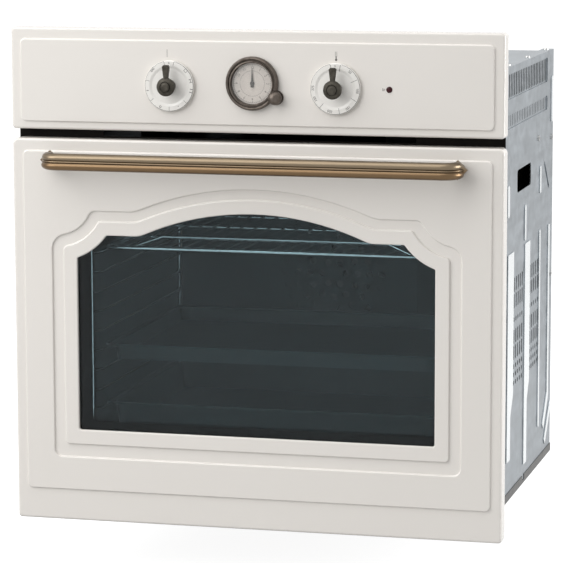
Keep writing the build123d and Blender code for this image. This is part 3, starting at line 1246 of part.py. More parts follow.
save("function_shaft", shaft(-DIAL_X))
save("temperature_dial", dial(DIAL_X))
save("temperature_lever", lever(DIAL_X))
save("temperature_shaft", shaft(DIAL_X))
save("door_panel", door_panel())
save("window_glass", window_glass())
save("inner_glass", inner_glass())
save("door_inner_frame", door_inner_frame())
save("hinge_cases", *both_sides(hinge_case()))
save("hinge_pins", *both_sides(hinge_pins()))
save("hinge_springs", *both_sides(hinge_spring()))
save("hinge_arms", *both_sides(hinge_arm()))
save("hinge_brackets", *both_sides(hinge_bracket()))
save("handle_bar", handle_bar())
save("handle_feet", *both_sides(handle_foot()))
save("handle_screws", *both_sides(handle_screw()))
save("side_rails", *both_sides(side_rail()))
save("wire_shelf", wire_shelf())
save("shallow_tray", tray(SHALLOW_TRAY_LEVEL, SHALLOW_TRAY_H))
save("deep_tray", tray(0, DEEP_TRAY_H))
save("grill_heater", grill_heater())
save("bottom_heater", heater_loop(BOTTOM_HEATER_Z, 90, CAVITY_REAR - 50, CAVITY_X - 72, 14))
save("ring_heater", ring_heater())
save("convection_fan", convection_fan())
save("fan_cover", fan_cover())
save("convection_motor", convection_motor())
save("lamp_lens", lamp_lens())
save("lamp_housing", lamp_housing())
save("lamp_bulb", lamp_bulb())
save("temperature_sensor", temperature_sensor())
save("air_duct", air_duct())
save("cooling_fan_housing", blower_housing())
save("cooling_fan_rotor", blower_rotor())
save("cooling_fan_motor", blower_motor())
save("terminal_block", terminal_block())
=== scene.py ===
import math

import bpy
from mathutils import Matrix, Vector


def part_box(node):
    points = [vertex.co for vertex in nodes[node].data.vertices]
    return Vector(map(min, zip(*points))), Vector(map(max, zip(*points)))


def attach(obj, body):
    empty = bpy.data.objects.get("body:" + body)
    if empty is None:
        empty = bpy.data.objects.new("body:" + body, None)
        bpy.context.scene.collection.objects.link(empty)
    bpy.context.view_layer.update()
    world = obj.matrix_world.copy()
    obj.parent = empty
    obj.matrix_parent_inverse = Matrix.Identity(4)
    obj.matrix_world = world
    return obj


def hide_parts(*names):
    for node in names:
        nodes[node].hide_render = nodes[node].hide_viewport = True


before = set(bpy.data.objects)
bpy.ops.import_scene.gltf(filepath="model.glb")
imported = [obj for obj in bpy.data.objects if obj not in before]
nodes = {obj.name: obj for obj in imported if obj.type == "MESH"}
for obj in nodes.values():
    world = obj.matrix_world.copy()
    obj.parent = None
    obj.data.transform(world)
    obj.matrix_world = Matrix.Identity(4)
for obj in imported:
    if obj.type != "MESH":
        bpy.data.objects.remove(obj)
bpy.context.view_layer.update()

# Camera
# A long lens far in front of the oven, a little to its right and above it, held level apart
# from a slight tilt, as in the photograph.
camera_data = bpy.data.cameras.new("camera")
camera = bpy.data.objects.new("camera", camera_data)
bpy.context.scene.collection.objects.link(camera)
camera_data.sensor_width = 36.0
camera_data.lens = 188.2
camera_data.clip_end = 60.0
YAW, PITCH, ROLL = math.radians(14.533), math.radians(8.512), math.radians(-0.162)
look = Vector((-math.sin(YAW) * math.cos(PITCH), math.cos(YAW) * math.cos(PITCH), -math.sin(PITCH)))
camera.location = (0.8908, -3.3287, 0.8030)
aim = look.to_track_quat("-Z", "Y").to_matrix()
camera.rotation_euler = aim.to_euler()
camera.rotation_euler.rotate_axis("Z", ROLL)
bpy.context.scene.camera = camera


# Studio
# Soft boxes to the left, right and above, a pale ambient light, and a glowing floor low enough
# for the door to open over it. The camera, mirrors and glass see the room as plain white.
class Value:
    """A shader socket that is worked with like a number."""

    def __init__(self, tree, socket):
        self.tree, self.socket = tree, socket

    def feed(self, place):
        """Drive another socket with this value."""
        self.tree.links.new(self.socket, place)

    def maths(self, operation, *others, swapped=False):
        node = self.tree.nodes.new("ShaderNodeMath")
        node.operation = operation
        for place, term in zip(node.inputs, [*others, self] if swapped else [self, *others]):
            fill(place, term)
        return Value(self.tree, node.outputs[0])

    def __add__(self, other):
        return self.maths("ADD", other)

    def __radd__(self, other):
        return self.maths("ADD", other, swapped=True)

    def __sub__(self, other):
        return self.maths("SUBTRACT", other)

    def __rsub__(self, other):
        return self.maths("SUBTRACT", other, swapped=True)

    def __mul__(self, other):
        return self.maths("MULTIPLY", other)

    def __rmul__(self, other):
        return self.maths("MULTIPLY", other, swapped=True)

    def __gt__(self, other):
        return self.maths("GREATER_THAN", other)

    def __lt__(self, other):
        return self.maths("LESS_THAN", other)


def fill(place, value):
    """Drive a socket with a Value, or set it to a number or a colour."""
    if isinstance(value, Value):
        value.feed(place)
    elif isinstance(value, tuple) and len(place.default_value) == 4:
        place.default_value = (*value, 1.0)
    else:
        place.default_value = value


class Finish:
    """A material under construction, with its principled shader."""

    def __init__(self, name):
        self.material = bpy.data.materials.new(name)
        self.material.use_nodes = True
        self.tree = self.material.node_tree
        self.shader = self.tree.nodes["Principled BSDF"]

    def node(self, kind, settings=None, inputs=None, output=0):
        """Add a node: its settings first, then the values or links of its sockets."""
        made = self.tree.nodes.new(kind)
        for key, value in (settings or {}).items():
            if key == "stops":
                for element, (stop, colour) in zip(made.color_ramp.elements, value):
                    element.position = stop
                    element.color = (*colour, 1.0)
            else:
                setattr(made, key, value)
        for key, value in (inputs or {}).items():
            fill(made.inputs[key], value)
        return Value(self.tree, made.outputs[output])

    def spot(self):
        """The point being shaded, in metres on the object."""
        return self.node("ShaderNodeTexCoord", output=3)

    def along(self, axis):
        """One coordinate of that point: 0 for x, 1 for y, 2 for z."""
        return self.node("ShaderNodeSeparateXYZ", inputs={"Vector": self.spot()}, output=axis)

    def noise(self, scale, detail=3.0, roughness=0.55, stretch=None):
        spot = self.spot()
        if stretch:
            spot = self.node("ShaderNodeMapping", inputs={"Vector": spot, "Scale": stretch})
        return self.node("ShaderNodeTexNoise", inputs={"Vector": spot, "Scale": scale, "Detail": detail,
                                                       "Roughness": roughness})

    def cells(self, scale, output):
        """Distance to the nearest cell's middle (output 0), or a colour for each cell (output 1)."""
        return self.node("ShaderNodeTexVoronoi", inputs={"Vector": self.spot(), "Scale": scale},
                         output=output)

    def shades(self, factor, low, high, stops=(0.3, 0.7)):
        """Colour that goes from low to high while the factor goes from stop to stop."""
        return self.node("ShaderNodeValToRGB", {"stops": zip(stops, (low, high))}, {"Fac": factor})

    def mix(self, factor, first, second):
        """Colour that goes from the first to the second."""
        return self.node("ShaderNodeMix", {"data_type": "RGBA"}, {0: factor, 6: first, 7: second}, 2)

    def bump(self, height, strength, distance):
        return self.node("ShaderNodeBump", inputs={"Height": height, "Strength": strength,
                                                   "Distance": distance})

    def set(self, **sockets):
        """Sockets of the shader, by their names with spaces as underscores."""
        for key, value in sockets.items():
            fill(self.shader.inputs[key.replace("_", " ")], value)


def wear(finish, *names):
    """Give CAD nodes their finish."""
    for name in names:
        slots = nodes[name].material_slots
        if not slots:
            nodes[name].data.materials.append(finish.material)
        for slot in slots:
            slot.material = finish.material


def background(tree, strength):
    """1 for rays that show the room itself, and the given strength for rays that light things."""
    paths = tree.nodes.new("ShaderNodeLightPath")
    seen = Value(tree, paths.outputs["Is Camera Ray"])
    for name in ("Is Glossy Ray", "Is Transmission Ray"):
        seen = seen.maths("MAXIMUM", Value(tree, paths.outputs[name]))
    return seen * (1.0 - strength) + strength


AMBIENT = 0.48
world = bpy.data.worlds.new("studio")
bpy.context.scene.world = world
world.use_nodes = True
sky = world.node_tree.nodes["Background"]
sky.inputs["Color"].default_value = (1.0, 1.0, 1.0, 1.0)
background(world.node_tree, AMBIENT).feed(sky.inputs["Strength"])
bpy.context.scene.view_settings.view_transform = "Standard"

FLOOR_Z, FLOOR_SIZE = -0.075, 60.0
FLOOR_GLOW, FLOOR_GLOW_SEEN = 0.52, 0.90
bpy.ops.object.select_all(action="DESELECT")
bpy.ops.mesh.primitive_plane_add(size=FLOOR_SIZE, location=(0, 0, FLOOR_Z))
floor = bpy.context.object
floor.name = "floor"
paper = Finish("paper")
by_camera = Value(paper.tree, paper.tree.nodes.new("ShaderNodeLightPath").outputs["Is Camera Ray"])
glow = background(paper.tree, 0.0) * FLOOR_GLOW + by_camera * (FLOOR_GLOW_SEEN - FLOOR_GLOW)
paper.set(Base_Color=(0.42, 0.42, 0.42), Roughness=0.9, Specular_IOR_Level=0.0,
          Emission_Color=(1.0, 1.0, 1.0), Emission_Strength=glow)
floor.data.materials.append(paper.material)

# Each lamp's name, place, width and watts. All of them face the middle of the oven.
LAMPS = (
    ("left_box", (-1.8, -1.8, 1.75), 2.6, 69.0),
    ("right_box", (2.2, 0.5, 0.8), 1.2, 36.0),
    ("top_box", (-0.2, -0.8, 3.0), 1.8, 20.0),
)
LAMPS_FACE = Vector((0, 0, 0.25))
for name, spot, size, power in LAMPS:
    data = bpy.data.lights.new(name, "AREA")
    data.shape = "SQUARE"
    data.size = size
    data.energy = power
    lamp = bpy.data.objects.new(name, data)
    lamp.location = spot
    lamp.rotation_euler = (LAMPS_FACE - Vector(spot)).to_track_quat("-Z", "Y").to_euler()
    bpy.context.scene.collection.objects.link(lamp)


# Chassis
# Galvanised sheet: base tray, side panels with louvres and vent slots, back and top covers, and
# the brackets and the lamp's box of the same sheet.
def galvanised(finish):
    """Colour, roughness and relief of zinc: fine crystals under cloudy streaks."""
    crystal = finish.node("ShaderNodeSeparateColor", inputs={"Color": finish.cells(85.0, output=1)})
    streaks = finish.noise(26.0, 5.0, 0.6, (1.0, 0.35, 2.4))
    colour = finish.shades(crystal * 0.22 + streaks * 0.78, (0.275, 0.30, 0.32), (0.40, 0.43, 0.455),
                           stops=(0.25, 0.75))
    rough = crystal * 0.06 + streaks * 0.12 + 0.30
    return colour, rough, finish.bump(finish.noise(180.0, 3.0), 0.10, 0.0006)


zinc = Finish("galvanised sheet")
colour, rough, relief = galvanised(zinc)
zinc.set(Base_Color=colour, Metallic=1.0, Roughness=rough, Normal=relief)
wear(zinc, "back_panel", "top_panel", "panel_bracket", "hinge_brackets", "lamp_housing")


def mottled(name, grain, low, high, rough, **sockets):
    """A finish whose colour goes from low to high over a noise, and its roughness where two are given."""
    finish = Finish(name)
    noise = finish.noise(*grain)
    if isinstance(rough, tuple):
        rough = noise * (rough[1] - rough[0]) + rough[0]
    finish.set(Base_Color=finish.shades(noise, low, high), Roughness=rough, **sockets)
    return finish


# The base tray is of the same sheet, darkened as painted shade under the oven.
base_shade = mottled("dull sheet", (40.0, 5.0, 0.6), (0.060, 0.058, 0.055), (0.170, 0.165, 0.158),
               rough=(0.30, 0.50), Metallic=1.0)
wear(base_shade, "base_panel")

# The side panels' pressed ribs stand 1.5 mm proud. Their tops carry a painted highlight: near
# white and less metallic than the sheet round them, and smoother too.
RIB_FLANK = 0.0007
RIB_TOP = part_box("side_panel_right")[1][0] - RIB_FLANK
pressed = Finish("galvanised side panel")
colour, rough, relief = galvanised(pressed)
painted_rib_highlight = pressed.along(0).maths("ABSOLUTE") > RIB_TOP
# Painted highlight: the rib tops are mixed to near white.
pressed.set(Base_Color=pressed.mix(painted_rib_highlight, colour, (0.96, 0.99, 1.0)), Metallic=1.0 - painted_rib_highlight * 0.45,
            Roughness=rough - painted_rib_highlight * 0.22, Normal=relief)
wear(pressed, "side_panel_left", "side_panel_right")

# Front frame
# Pressed steel behind the door and the control panel, in satin black enamel, with the deep
# recess that the door's hinges and seal close on. The blower's box and the air duct are made
# black too, as painted shade that keeps the gap over the door dark.
black = mottled("black enamel", (60.0, 4.0), (0.0055, 0.0045, 0.0040), (0.0090, 0.0075, 0.0065),
                rough=(0.38, 0.50), Specular_IOR_Level=0.05)
black.set(Normal=black.bump(black.noise(420.0, 2.0), 0.08, 0.0004))
# The black on the air duct and the blower's box is painted shade.
wear(black, "front_frame", "air_duct", "cooling_fan_housing")

# Cavity
# Deep drawn oven cavity, fan cover and trays in dark easy-clean enamel, with the faint flecks
# such enamel has.
speckled = Finish("cavity enamel")
fleck = (speckled.cells(520.0, output=0) < 0.16) * (speckled.noise(900.0, 2.0) > 0.52)
speckled.set(Base_Color=speckled.mix(fleck, (0.018, 0.029, 0.031), (0.042, 0.052, 0.054)),
             Roughness=0.36, Specular_IOR_Level=0.25,
             Normal=speckled.bump(speckled.noise(140.0, 3.0), 0.12, 0.0006))
wear(speckled, "cavity", "fan_cover", "deep_tray", "shallow_tray")

# Door seal
# Grey silicone profile, clipped round the cavity's mouth, that the closed door presses on.
silicone = mottled("silicone seal", (300.0,), (0.10, 0.10, 0.105), (0.14, 0.14, 0.145), rough=0.62)
silicone.set(Normal=silicone.bump(silicone.noise(900.0), 0.1, 0.0002))
wear(silicone, "door_seal")

# Heaters and fan wheel
# Sheathed tube elements, browned by heat: grill under the roof, bottom element, and the ring
# round the fan.
sheath = mottled("heater sheath", (22.0, 4.0), (0.17, 0.15, 0.13), (0.30, 0.28, 0.26),
                 rough=(0.35, 0.55), Metallic=0.9)
wear(sheath, "grill_heater", "bottom_heater", "ring_heater")

# The convection fan's wheel is darkened as painted shade, so that it shows dark through the
# fan cover's holes.
wheel = mottled("fan wheel", (30.0, 4.0), (0.07, 0.07, 0.07), (0.12, 0.12, 0.12),
                rough=(0.4, 0.6), Metallic=0.9)
wear(wheel, "convection_fan")

# Bright steel
# Turned and folded steel, plain and brushed: shafts, pins, screws, hinge parts, the blower's
# wheel, the motors, the door's inner frame and the temperature probe.
steel = mottled("bright steel", (90.0, 4.0, 0.6, (8.0, 1.0, 1.0)), (0.50, 0.50, 0.49),
                (0.64, 0.64, 0.63), rough=(0.24, 0.36), Metallic=1.0)
wear(steel, "chassis_screws", "hinge_cases", "hinge_pins", "hinge_arms", "handle_screws",
     "function_shaft", "temperature_shaft", "clock_stem", "cooling_fan_rotor",
     "temperature_sensor", "door_inner_frame", "convection_motor", "cooling_fan_motor")

# Rails and shelf
# Side rails and the wire shelf that slides on them: chromed round wire, welded where it crosses.
chrome = mottled("chromed wire", (160.0, 2.0), (0.74, 0.75, 0.76), (0.82, 0.83, 0.84),
                 rough=(0.10, 0.18), Metallic=1.0)
wear(chrome, "side_rails", "wire_shelf")


# Insulation
# Mineral wool blanket wrapped round the cavity: soft, uneven and open at the front.
def nothing_picked():
    """Object mode, with nothing selected."""
    if bpy.context.mode != "OBJECT":
        bpy.ops.object.mode_set(mode="OBJECT")
    bpy.ops.object.select_all(action="DESELECT")


def start(primitive, **settings):
    """A new primitive, alone in the selection and open for editing."""
    nothing_picked()
    getattr(bpy.ops.mesh, primitive)(**settings)
    bpy.ops.object.mode_set(mode="EDIT")
    bpy.ops.mesh.select_all(action="SELECT")


def pick(piece, wanted):
    """In edit mode, select the vertices whose place is wanted."""
    bpy.ops.mesh.select_all(action="DESELECT")
    bpy.ops.object.mode_set(mode="OBJECT")
    for vertex in piece.data.vertices:
        vertex.select = bool(wanted(vertex.co))
    bpy.ops.object.mode_set(mode="EDIT")
    bpy.ops.mesh.select_mode(type="VERT")


def alone(piece):
    """Object mode, with only this piece selected and active."""
    nothing_picked()
    piece.select_set(True)
    bpy.context.view_layer.objects.active = piece


def placed(piece, spot, turn=(0, 0, 0)):
    """Put a piece where it belongs, with its place in its mesh."""
    alone(piece)
    piece.location = spot
    piece.rotation_euler = turn
    bpy.ops.object.transform_apply(location=True, rotation=True, scale=True)


def shaped(piece, kind, **settings):
    """Add a modifier and apply it."""
    alone(piece)
    modifier = piece.modifiers.new(kind.lower(), kind)
    for key, value in settings.items():
        setattr(modifier, key, value)
    bpy.ops.object.modifier_apply(modifier=modifier.name)


def thickened(piece, thickness):
    shaped(piece, "SOLIDIFY", thickness=thickness, offset=0.0)


def joined(pieces):
    """Make one piece of several."""
    alone(pieces[0])
    for piece in pieces[1:]:
        piece.select_set(True)
    bpy.ops.object.join()
    return pieces[0]


def ready(piece, name, finish, body, smooth=math.radians(35)):
    """Name and finish a piece and fix it to the body that carries it."""
    alone(piece)
    piece.name = piece.data.name = name
    piece.data.materials.clear()
    piece.data.materials.append(finish.material)
    if smooth:
        bpy.ops.object.shade_smooth_by_angle(angle=smooth)
    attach(piece, body)


wool = Finish("mineral wool")
fibre = wool.noise(240.0, 6.0, 0.7, (1.0, 1.0, 3.0))
wool.set(Base_Color=wool.shades(fibre, (0.10, 0.09, 0.065), (0.20, 0.18, 0.135)), Roughness=0.95,
         Normal=wool.bump(fibre, 0.5, 0.002))
WOOL_VOXEL, WOOL_SAG, LUMP = 0.006, 0.005, 0.055
blanket = bpy.data.objects.new("wool_blanket", nodes["insulation"].data.copy())
bpy.context.scene.collection.objects.link(blanket)
alone(blanket)
bpy.ops.object.mode_set(mode="EDIT")
bpy.ops.mesh.select_all(action="SELECT")
bpy.ops.mesh.remove_doubles(threshold=0.00001)
bpy.ops.mesh.normals_make_consistent(inside=False)
shaped(blanket, "REMESH", mode="VOXEL", voxel_size=WOOL_VOXEL)
lumps = bpy.data.textures.new("wool lumps", "CLOUDS")
lumps.noise_scale = LUMP
lumps.noise_depth = 3
shaped(blanket, "DISPLACE", texture=lumps, texture_coords="LOCAL", strength=-WOOL_SAG, mid_level=0.0)
shaped(blanket, "SMOOTH", factor=0.5, iterations=2)
ready(blanket, "wool_blanket", wool, "root", smooth=None)
bpy.ops.object.shade_smooth()
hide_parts("insulation")

# Hinge springs
# Closing springs of round wire in the door's hinge cases: 34 turns between two turned plugs,
# each with a stud and a wire eye.
UPRIGHT = (math.pi / 2, 0, 0)
WIRE_R, COIL_R, TURNS, TURN_STEPS = 0.0014, 0.0040, 34, 14
PLUG_R, PLUG_H, PLUG_RIM, STUD_H, PLUG_EDGE = COIL_R + WIRE_R * 0.6, 0.0030, 0.0030, 0.0012, 0.0004
EYE_R, EYE_WIRE_R, EYE_STRETCH, EYE_OUT = 0.0023, 0.0008, 1.1, 0.0030
END_IN = 0.0013
spring_low, spring_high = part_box("hinge_springs")
spring_y = (spring_low[1] + spring_high[1]) / 2
foot_z, head_z = spring_low[2] + END_IN, spring_high[2] - END_IN
rise = (head_z - foot_z - 2 * WIRE_R) / TURNS
springs = []
for end in (-1, 1):
    spring_x = end * (spring_high[0] - COIL_R - WIRE_R)
    start("primitive_circle_add", vertices=8, radius=WIRE_R)
    coil = bpy.context.object
    placed(coil, (COIL_R, 0, 0), UPRIGHT)
    shaped(coil, "SCREW", axis="Z", angle=2 * math.pi, screw_offset=rise, iterations=TURNS,
           steps=TURN_STEPS, render_steps=TURN_STEPS)
    alone(coil)
    bpy.ops.object.mode_set(mode="EDIT")
    bpy.ops.mesh.select_all(action="DESELECT")
    bpy.ops.mesh.select_non_manifold()
    bpy.ops.mesh.edge_face_add()
    bpy.ops.mesh.select_all(action="SELECT")
    bpy.ops.mesh.normals_make_consistent(inside=False)
    placed(coil, (spring_x, spring_y, foot_z + WIRE_R))
    parts = [coil]
    for z, way in ((foot_z, -1), (head_z, 1)):
        start("primitive_cylinder_add", vertices=20, radius=PLUG_R, depth=PLUG_H)
        plug = bpy.context.object
        pick(plug, lambda v: v.z > 0)
        bpy.ops.mesh.inset(thickness=PLUG_RIM)
        bpy.ops.mesh.extrude_region_move(TRANSFORM_OT_translate={"value": (0, 0, STUD_H)})
        bpy.ops.mesh.select_all(action="SELECT")
        bpy.ops.mesh.bevel(offset=PLUG_EDGE, segments=2, affect="EDGES")
        placed(plug, (spring_x, spring_y, z - way * PLUG_H / 2), (0 if way > 0 else math.pi, 0, 0))
        start("primitive_torus_add", major_segments=24, minor_segments=8, major_radius=EYE_R,
              minor_radius=EYE_WIRE_R)
        eye = bpy.context.object
        bpy.ops.transform.resize(value=(1.0, 1.0, EYE_STRETCH))
        placed(eye, (spring_x, spring_y, z + way * EYE_OUT), (0, math.pi / 2, 0))
        parts += [plug, eye]
    springs.append(joined(parts))
spring_pair = joined(springs)
ready(spring_pair, "hinge_spring_coils", steel, "door")
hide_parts("hinge_springs")

# Sheet screws
# Pan head screws with a cross recess, along the edges of the back and the top cover and at the
# corners of the fan cover.
HEAD_R, HEAD_H, HEAD_EDGE, HEAD_SUNK = 0.0034, 0.0020, 0.0008, 0.0001
CROSS_L, CROSS_W, CROSS_H = 0.0036, 0.0007, 0.0016
start("primitive_cylinder_add", vertices=24, radius=HEAD_R, depth=HEAD_H)
head = bpy.context.object
pick(head, lambda v: v.z > 0)
bpy.ops.mesh.bevel(offset=HEAD_EDGE, segments=3, affect="EDGES")
for turn in (0, math.pi / 2):
    start("primitive_cube_add", size=1.0)
    cut = bpy.context.object
    bpy.ops.transform.resize(value=(CROSS_L, CROSS_W, CROSS_H))
    placed(cut, (0, 0, HEAD_H / 2), (0, 0, turn))
    shaped(head, "BOOLEAN", object=cut, operation="DIFFERENCE")
    bpy.data.objects.remove(cut)
placed(head, (0, 0, HEAD_H / 2 - HEAD_SUNK))

# The faces that the screws sit on: the terminal block stands on the back's outer face, and the
# top cover is as high as the side panels.
BACK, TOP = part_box("terminal_block")[0][1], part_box("side_panel_left")[1][2]
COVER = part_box("fan_cover")[0][1]
BACK_TOP_X, BACK_TOP_Z = 0.120, 0.522
BACK_SIDE_X, BACK_SIDE_Z = 0.252, (0.03, 0.18, 0.33, 0.45)
TOP_SIDE_X, TOP_SIDE_Y = 0.2645, (0.04, 0.18, 0.32, 0.46)
COVER_X, COVER_Z = 0.104, (0.139, 0.347)
BACKWARDS = (-math.pi / 2, 0, 0)
spots = [((BACK_TOP_X * way, BACK, BACK_TOP_Z), BACKWARDS) for way in (-1, 0, 1)]
for way in (-1, 1):
    spots += [((BACK_SIDE_X * way, BACK, z), BACKWARDS) for z in BACK_SIDE_Z]
    spots += [((TOP_SIDE_X * way, y, TOP), (0, 0, 0)) for y in TOP_SIDE_Y]
    spots += [((COVER_X * way, COVER, z), UPRIGHT) for z in COVER_Z]
heads = []
for spot, turn in spots:
    screw = bpy.data.objects.new("sheet_screw", head.data.copy())
    bpy.context.scene.collection.objects.link(screw)
    placed(screw, spot, turn)
    heads.append(screw)
bpy.data.objects.remove(head)
ready(joined(heads), "sheet_screws", steel, "root")

# Switches, clock movement and terminal block
# Moulded plastic housings behind the control panel and on the back.
moulded = Finish("dark moulded plastic")
grain = moulded.noise(700.0, 3.0)
moulded.set(Base_Color=moulded.shades(grain, (0.030, 0.030, 0.032), (0.045, 0.045, 0.048)),
            Roughness=0.5, Normal=moulded.bump(grain, 0.15, 0.0002))
wear(moulded, "function_switch", "thermostat", "terminal_block", "clock_module")

# Oven lamp
# Small bulb behind a screw-in glass dome at the back of the cavity.
lens = mottled("lamp glass", (90.0, 2.0), (0.93, 0.94, 0.93), (0.97, 0.98, 0.97), rough=0.08,
               Transmission_Weight=1.0, IOR=1.47)
wear(lens, "lamp_lens", "lamp_bulb")

# Door skin and control panel
# Deep drawn steel in glossy cream enamel: the rounded edges, the raised fields and the groove
# round the window are pressed, and the window edge is hemmed back.
cream = Finish("cream enamel")
cream.set(Base_Color=cream.shades(cream.noise(3.0, 2.0), (0.760, 0.725, 0.682), (0.780, 0.748, 0.704)),
          Roughness=cream.noise(35.0, 3.0) * 0.06 + 0.20, Coat_Weight=0.35, Coat_Roughness=0.06,
          Normal=cream.bump(cream.noise(260.0, 2.0), 0.035, 0.0008))
wear(cream, "door_panel", "control_panel")

# Door glass
# Outer pane of grey tinted glass behind the hemmed window, and a clear inner pane in the door's
# inner frame.
GLASS = {"Transmission_Weight": 1.0, "IOR": 1.25}
tinted = mottled("tinted glass", (5.0, 2.0), (0.62, 0.735, 0.775), (0.65, 0.765, 0.805), rough=0.02,
                 **GLASS)
wear(tinted, "window_glass")
clear = mottled("clear glass", (5.0, 2.0), (0.90, 0.93, 0.92), (0.93, 0.96, 0.95), rough=0.02, **GLASS)
wear(clear, "inner_glass")

# The inner pane's black border is baked on its rear face, wider at the bottom.
BORDER_SIDE, BORDER_TOP, BORDER_FOOT, BORDER_CORNER, BAKED = 0.038, 0.037, 0.077, 0.006, 0.0001
SLACK = 0.001
pane_low, pane_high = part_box("inner_glass")
start("primitive_plane_add", size=1.0)
bpy.ops.transform.resize(value=(pane_high[0] - pane_low[0], pane_high[2] - pane_low[2], 1.0))
bpy.ops.mesh.inset(thickness=BORDER_SIDE)
bpy.ops.mesh.delete(type="ONLY_FACE")
border = bpy.context.object
inner_edge = pane_high[0] - BORDER_SIDE + SLACK
pick(border, lambda v: abs(v.x) < inner_edge and v.y < 0)
bpy.ops.transform.translate(value=(0, BORDER_FOOT - BORDER_SIDE, 0))
pick(border, lambda v: abs(v.x) < inner_edge and v.y > 0)
bpy.ops.transform.translate(value=(0, BORDER_SIDE - BORDER_TOP, 0))
bpy.ops.mesh.select_all(action="SELECT")
bpy.ops.mesh.bevel(offset=BORDER_CORNER, segments=6, affect="VERTICES")
placed(border, ((pane_low[0] + pane_high[0]) / 2, pane_high[1] + BAKED, (pane_low[2] + pane_high[2]) / 2),
       UPRIGHT)
thickened(border, BAKED)
frit = mottled("baked black border", (600.0,), (0.008, 0.008, 0.009), (0.013, 0.013, 0.014), rough=0.4,
               Specular_IOR_Level=0.15)
ready(border, "inner_glass_border", frit, "door")

# Handle
# Drawn brass bar in an antique bronze finish, on two diamond feet. Its upper lobe is painted
# paler, a painted highlight where it faces the light from above, and its lower lobe browner,
# painted shade where it faces down: brown up to the first height below, fully pale 5.6 mm higher.
SHADE_TOP_Z, PAINTED_LIGHT_PER_M = 0.427, 180.0
bronze = Finish("antique bronze")
patina = bronze.noise(60.0, 5.0, 0.6, (0.25, 1.0, 1.0))
# Painted light and shade: the colour grows paler with height over the bar, with a little noise.
painted_light = (bronze.along(2) - SHADE_TOP_Z) * PAINTED_LIGHT_PER_M + (patina - 0.5) * 0.5
bronze.set(Base_Color=bronze.shades(painted_light, (0.165, 0.108, 0.060), (0.208, 0.162, 0.110), stops=(0.0, 1.0)),
           Metallic=1.0, Roughness=patina * 0.15 + 0.26)
wear(bronze, "handle_bar", "handle_feet")

# Dials
# Moulded cream discs with a dished middle, and dark bronze hubs with a flared finger.
dial_cream = mottled("dial cream", (40.0, 3.0), (0.80, 0.78, 0.74), (0.84, 0.82, 0.78),
                     rough=(0.25, 0.35), Coat_Weight=0.2)
wear(dial_cream, "function_dial", "temperature_dial")
lever_bronze = mottled("lever bronze", (160.0, 5.0, 0.6), (0.028, 0.025, 0.020),
                       (0.075, 0.068, 0.056), rough=(0.32, 0.52), Metallic=0.85)
wear(lever_bronze, "function_lever", "temperature_lever")

# The dials' marks are printed in dark grey: plain numbers on the right one, plain signs for the
# ways of heating on the left one, ticks between them and a ring along the edge.
print_grey = mottled("print grey", (1500.0,), (0.050, 0.048, 0.045), (0.075, 0.072, 0.068), rough=0.5)
MM = 0.001
INK, CAP_TO_SIZE = 0.05 * MM, 0.7


def flat_word(text, height):
    """Text of the given capital height, flat and centred."""
    nothing_picked()
    bpy.ops.object.text_add()
    word = bpy.context.object
    word.data.body = text
    word.data.size = height / CAP_TO_SIZE
    word.data.align_x, word.data.align_y = "CENTER", "CENTER"
    word.data.resolution_u = 3
    bpy.ops.object.convert(target="MESH")
    return bpy.context.object


def flat_bar(width, length, steps=1):
    """Bar that stands along Y, in steps so that it can follow a curved ground."""
    start("primitive_grid_add", x_subdivisions=1, y_subdivisions=steps, size=1.0)
    bar = bpy.context.object
    bpy.ops.transform.resize(value=(width, length, 1.0))
    return bar


def flat_ring(radius, width, begin=0.0, end=360.0, sides=120):
    """Ring, or the part of it between two angles counted clockwise from the top."""
    start("primitive_circle_add", vertices=sides, radius=radius - width / 2)
    ring = bpy.context.object
    bpy.ops.mesh.extrude_edges_move()
    grow = (radius + width / 2) / (radius - width / 2)
    bpy.ops.transform.resize(value=(grow, grow, 1.0), center_override=(0, 0, 0))
    if end - begin < 360:
        pick(ring, lambda v: not begin <= math.degrees(math.atan2(v.x, v.y)) % 360 <= end)
        bpy.ops.mesh.delete(type="VERT")
    return ring


def printed(marks, x, y, z):
    """One flat piece that faces out, of marks round a centre, each with its angle and radius."""
    for mark, angle, radius in marks:
        turn = math.radians(angle)
        spot = (x + radius * math.sin(turn), y, z + radius * math.cos(turn))
        placed(mark, spot, (math.pi / 2, turn, 0))
    sheet = joined([mark for mark, angle, radius in marks])
    bpy.ops.object.mode_set(mode="EDIT")
    bpy.ops.mesh.select_mode(type="FACE")
    bpy.ops.mesh.select_all(action="DESELECT")
    bpy.ops.object.mode_set(mode="OBJECT")
    for polygon in sheet.data.polygons:
        polygon.select = polygon.normal.y > 0
    bpy.ops.object.mode_set(mode="EDIT")
    bpy.ops.mesh.flip_normals()
    bpy.ops.object.mode_set(mode="OBJECT")
    return sheet


def on_dial(sheet, dial):
    """Lay the print on a dial's rim and dish, and give it the thickness of ink."""
    shaped(sheet, "SHRINKWRAP", target=nodes[dial], wrap_method="PROJECT", use_project_x=False,
           use_project_y=True, use_project_z=False, use_positive_direction=True,
           use_negative_direction=True, offset=INK)
    thickened(sheet, INK * 1.6)


dial_low, dial_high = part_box("temperature_dial")
DIAL_X, DIAL_Z = (dial_low[0] + dial_high[0]) / 2, (dial_low[2] + dial_high[2]) / 2
PRINT_Y = dial_low[1] - 1.0 * MM
RIM_R, LINE = 29.3 * MM, 0.35 * MM
marks = [(flat_ring(RIM_R, LINE, 13.0, 348.0), 0, 0),
         (flat_ring(29.0 * MM, 0.9 * MM, 214, 236), 0, 0),
         (flat_word("0", 2.0 * MM), 0, 26.7 * MM)]
for angle, number in ((41, "50"), (93.6, "100"), (144.6, "150"), (193.6, "200"), (243.4, "250"),
                      (271.8, "275")):
    marks.append((flat_word(number, 2.9 * MM), angle, 26.4 * MM))
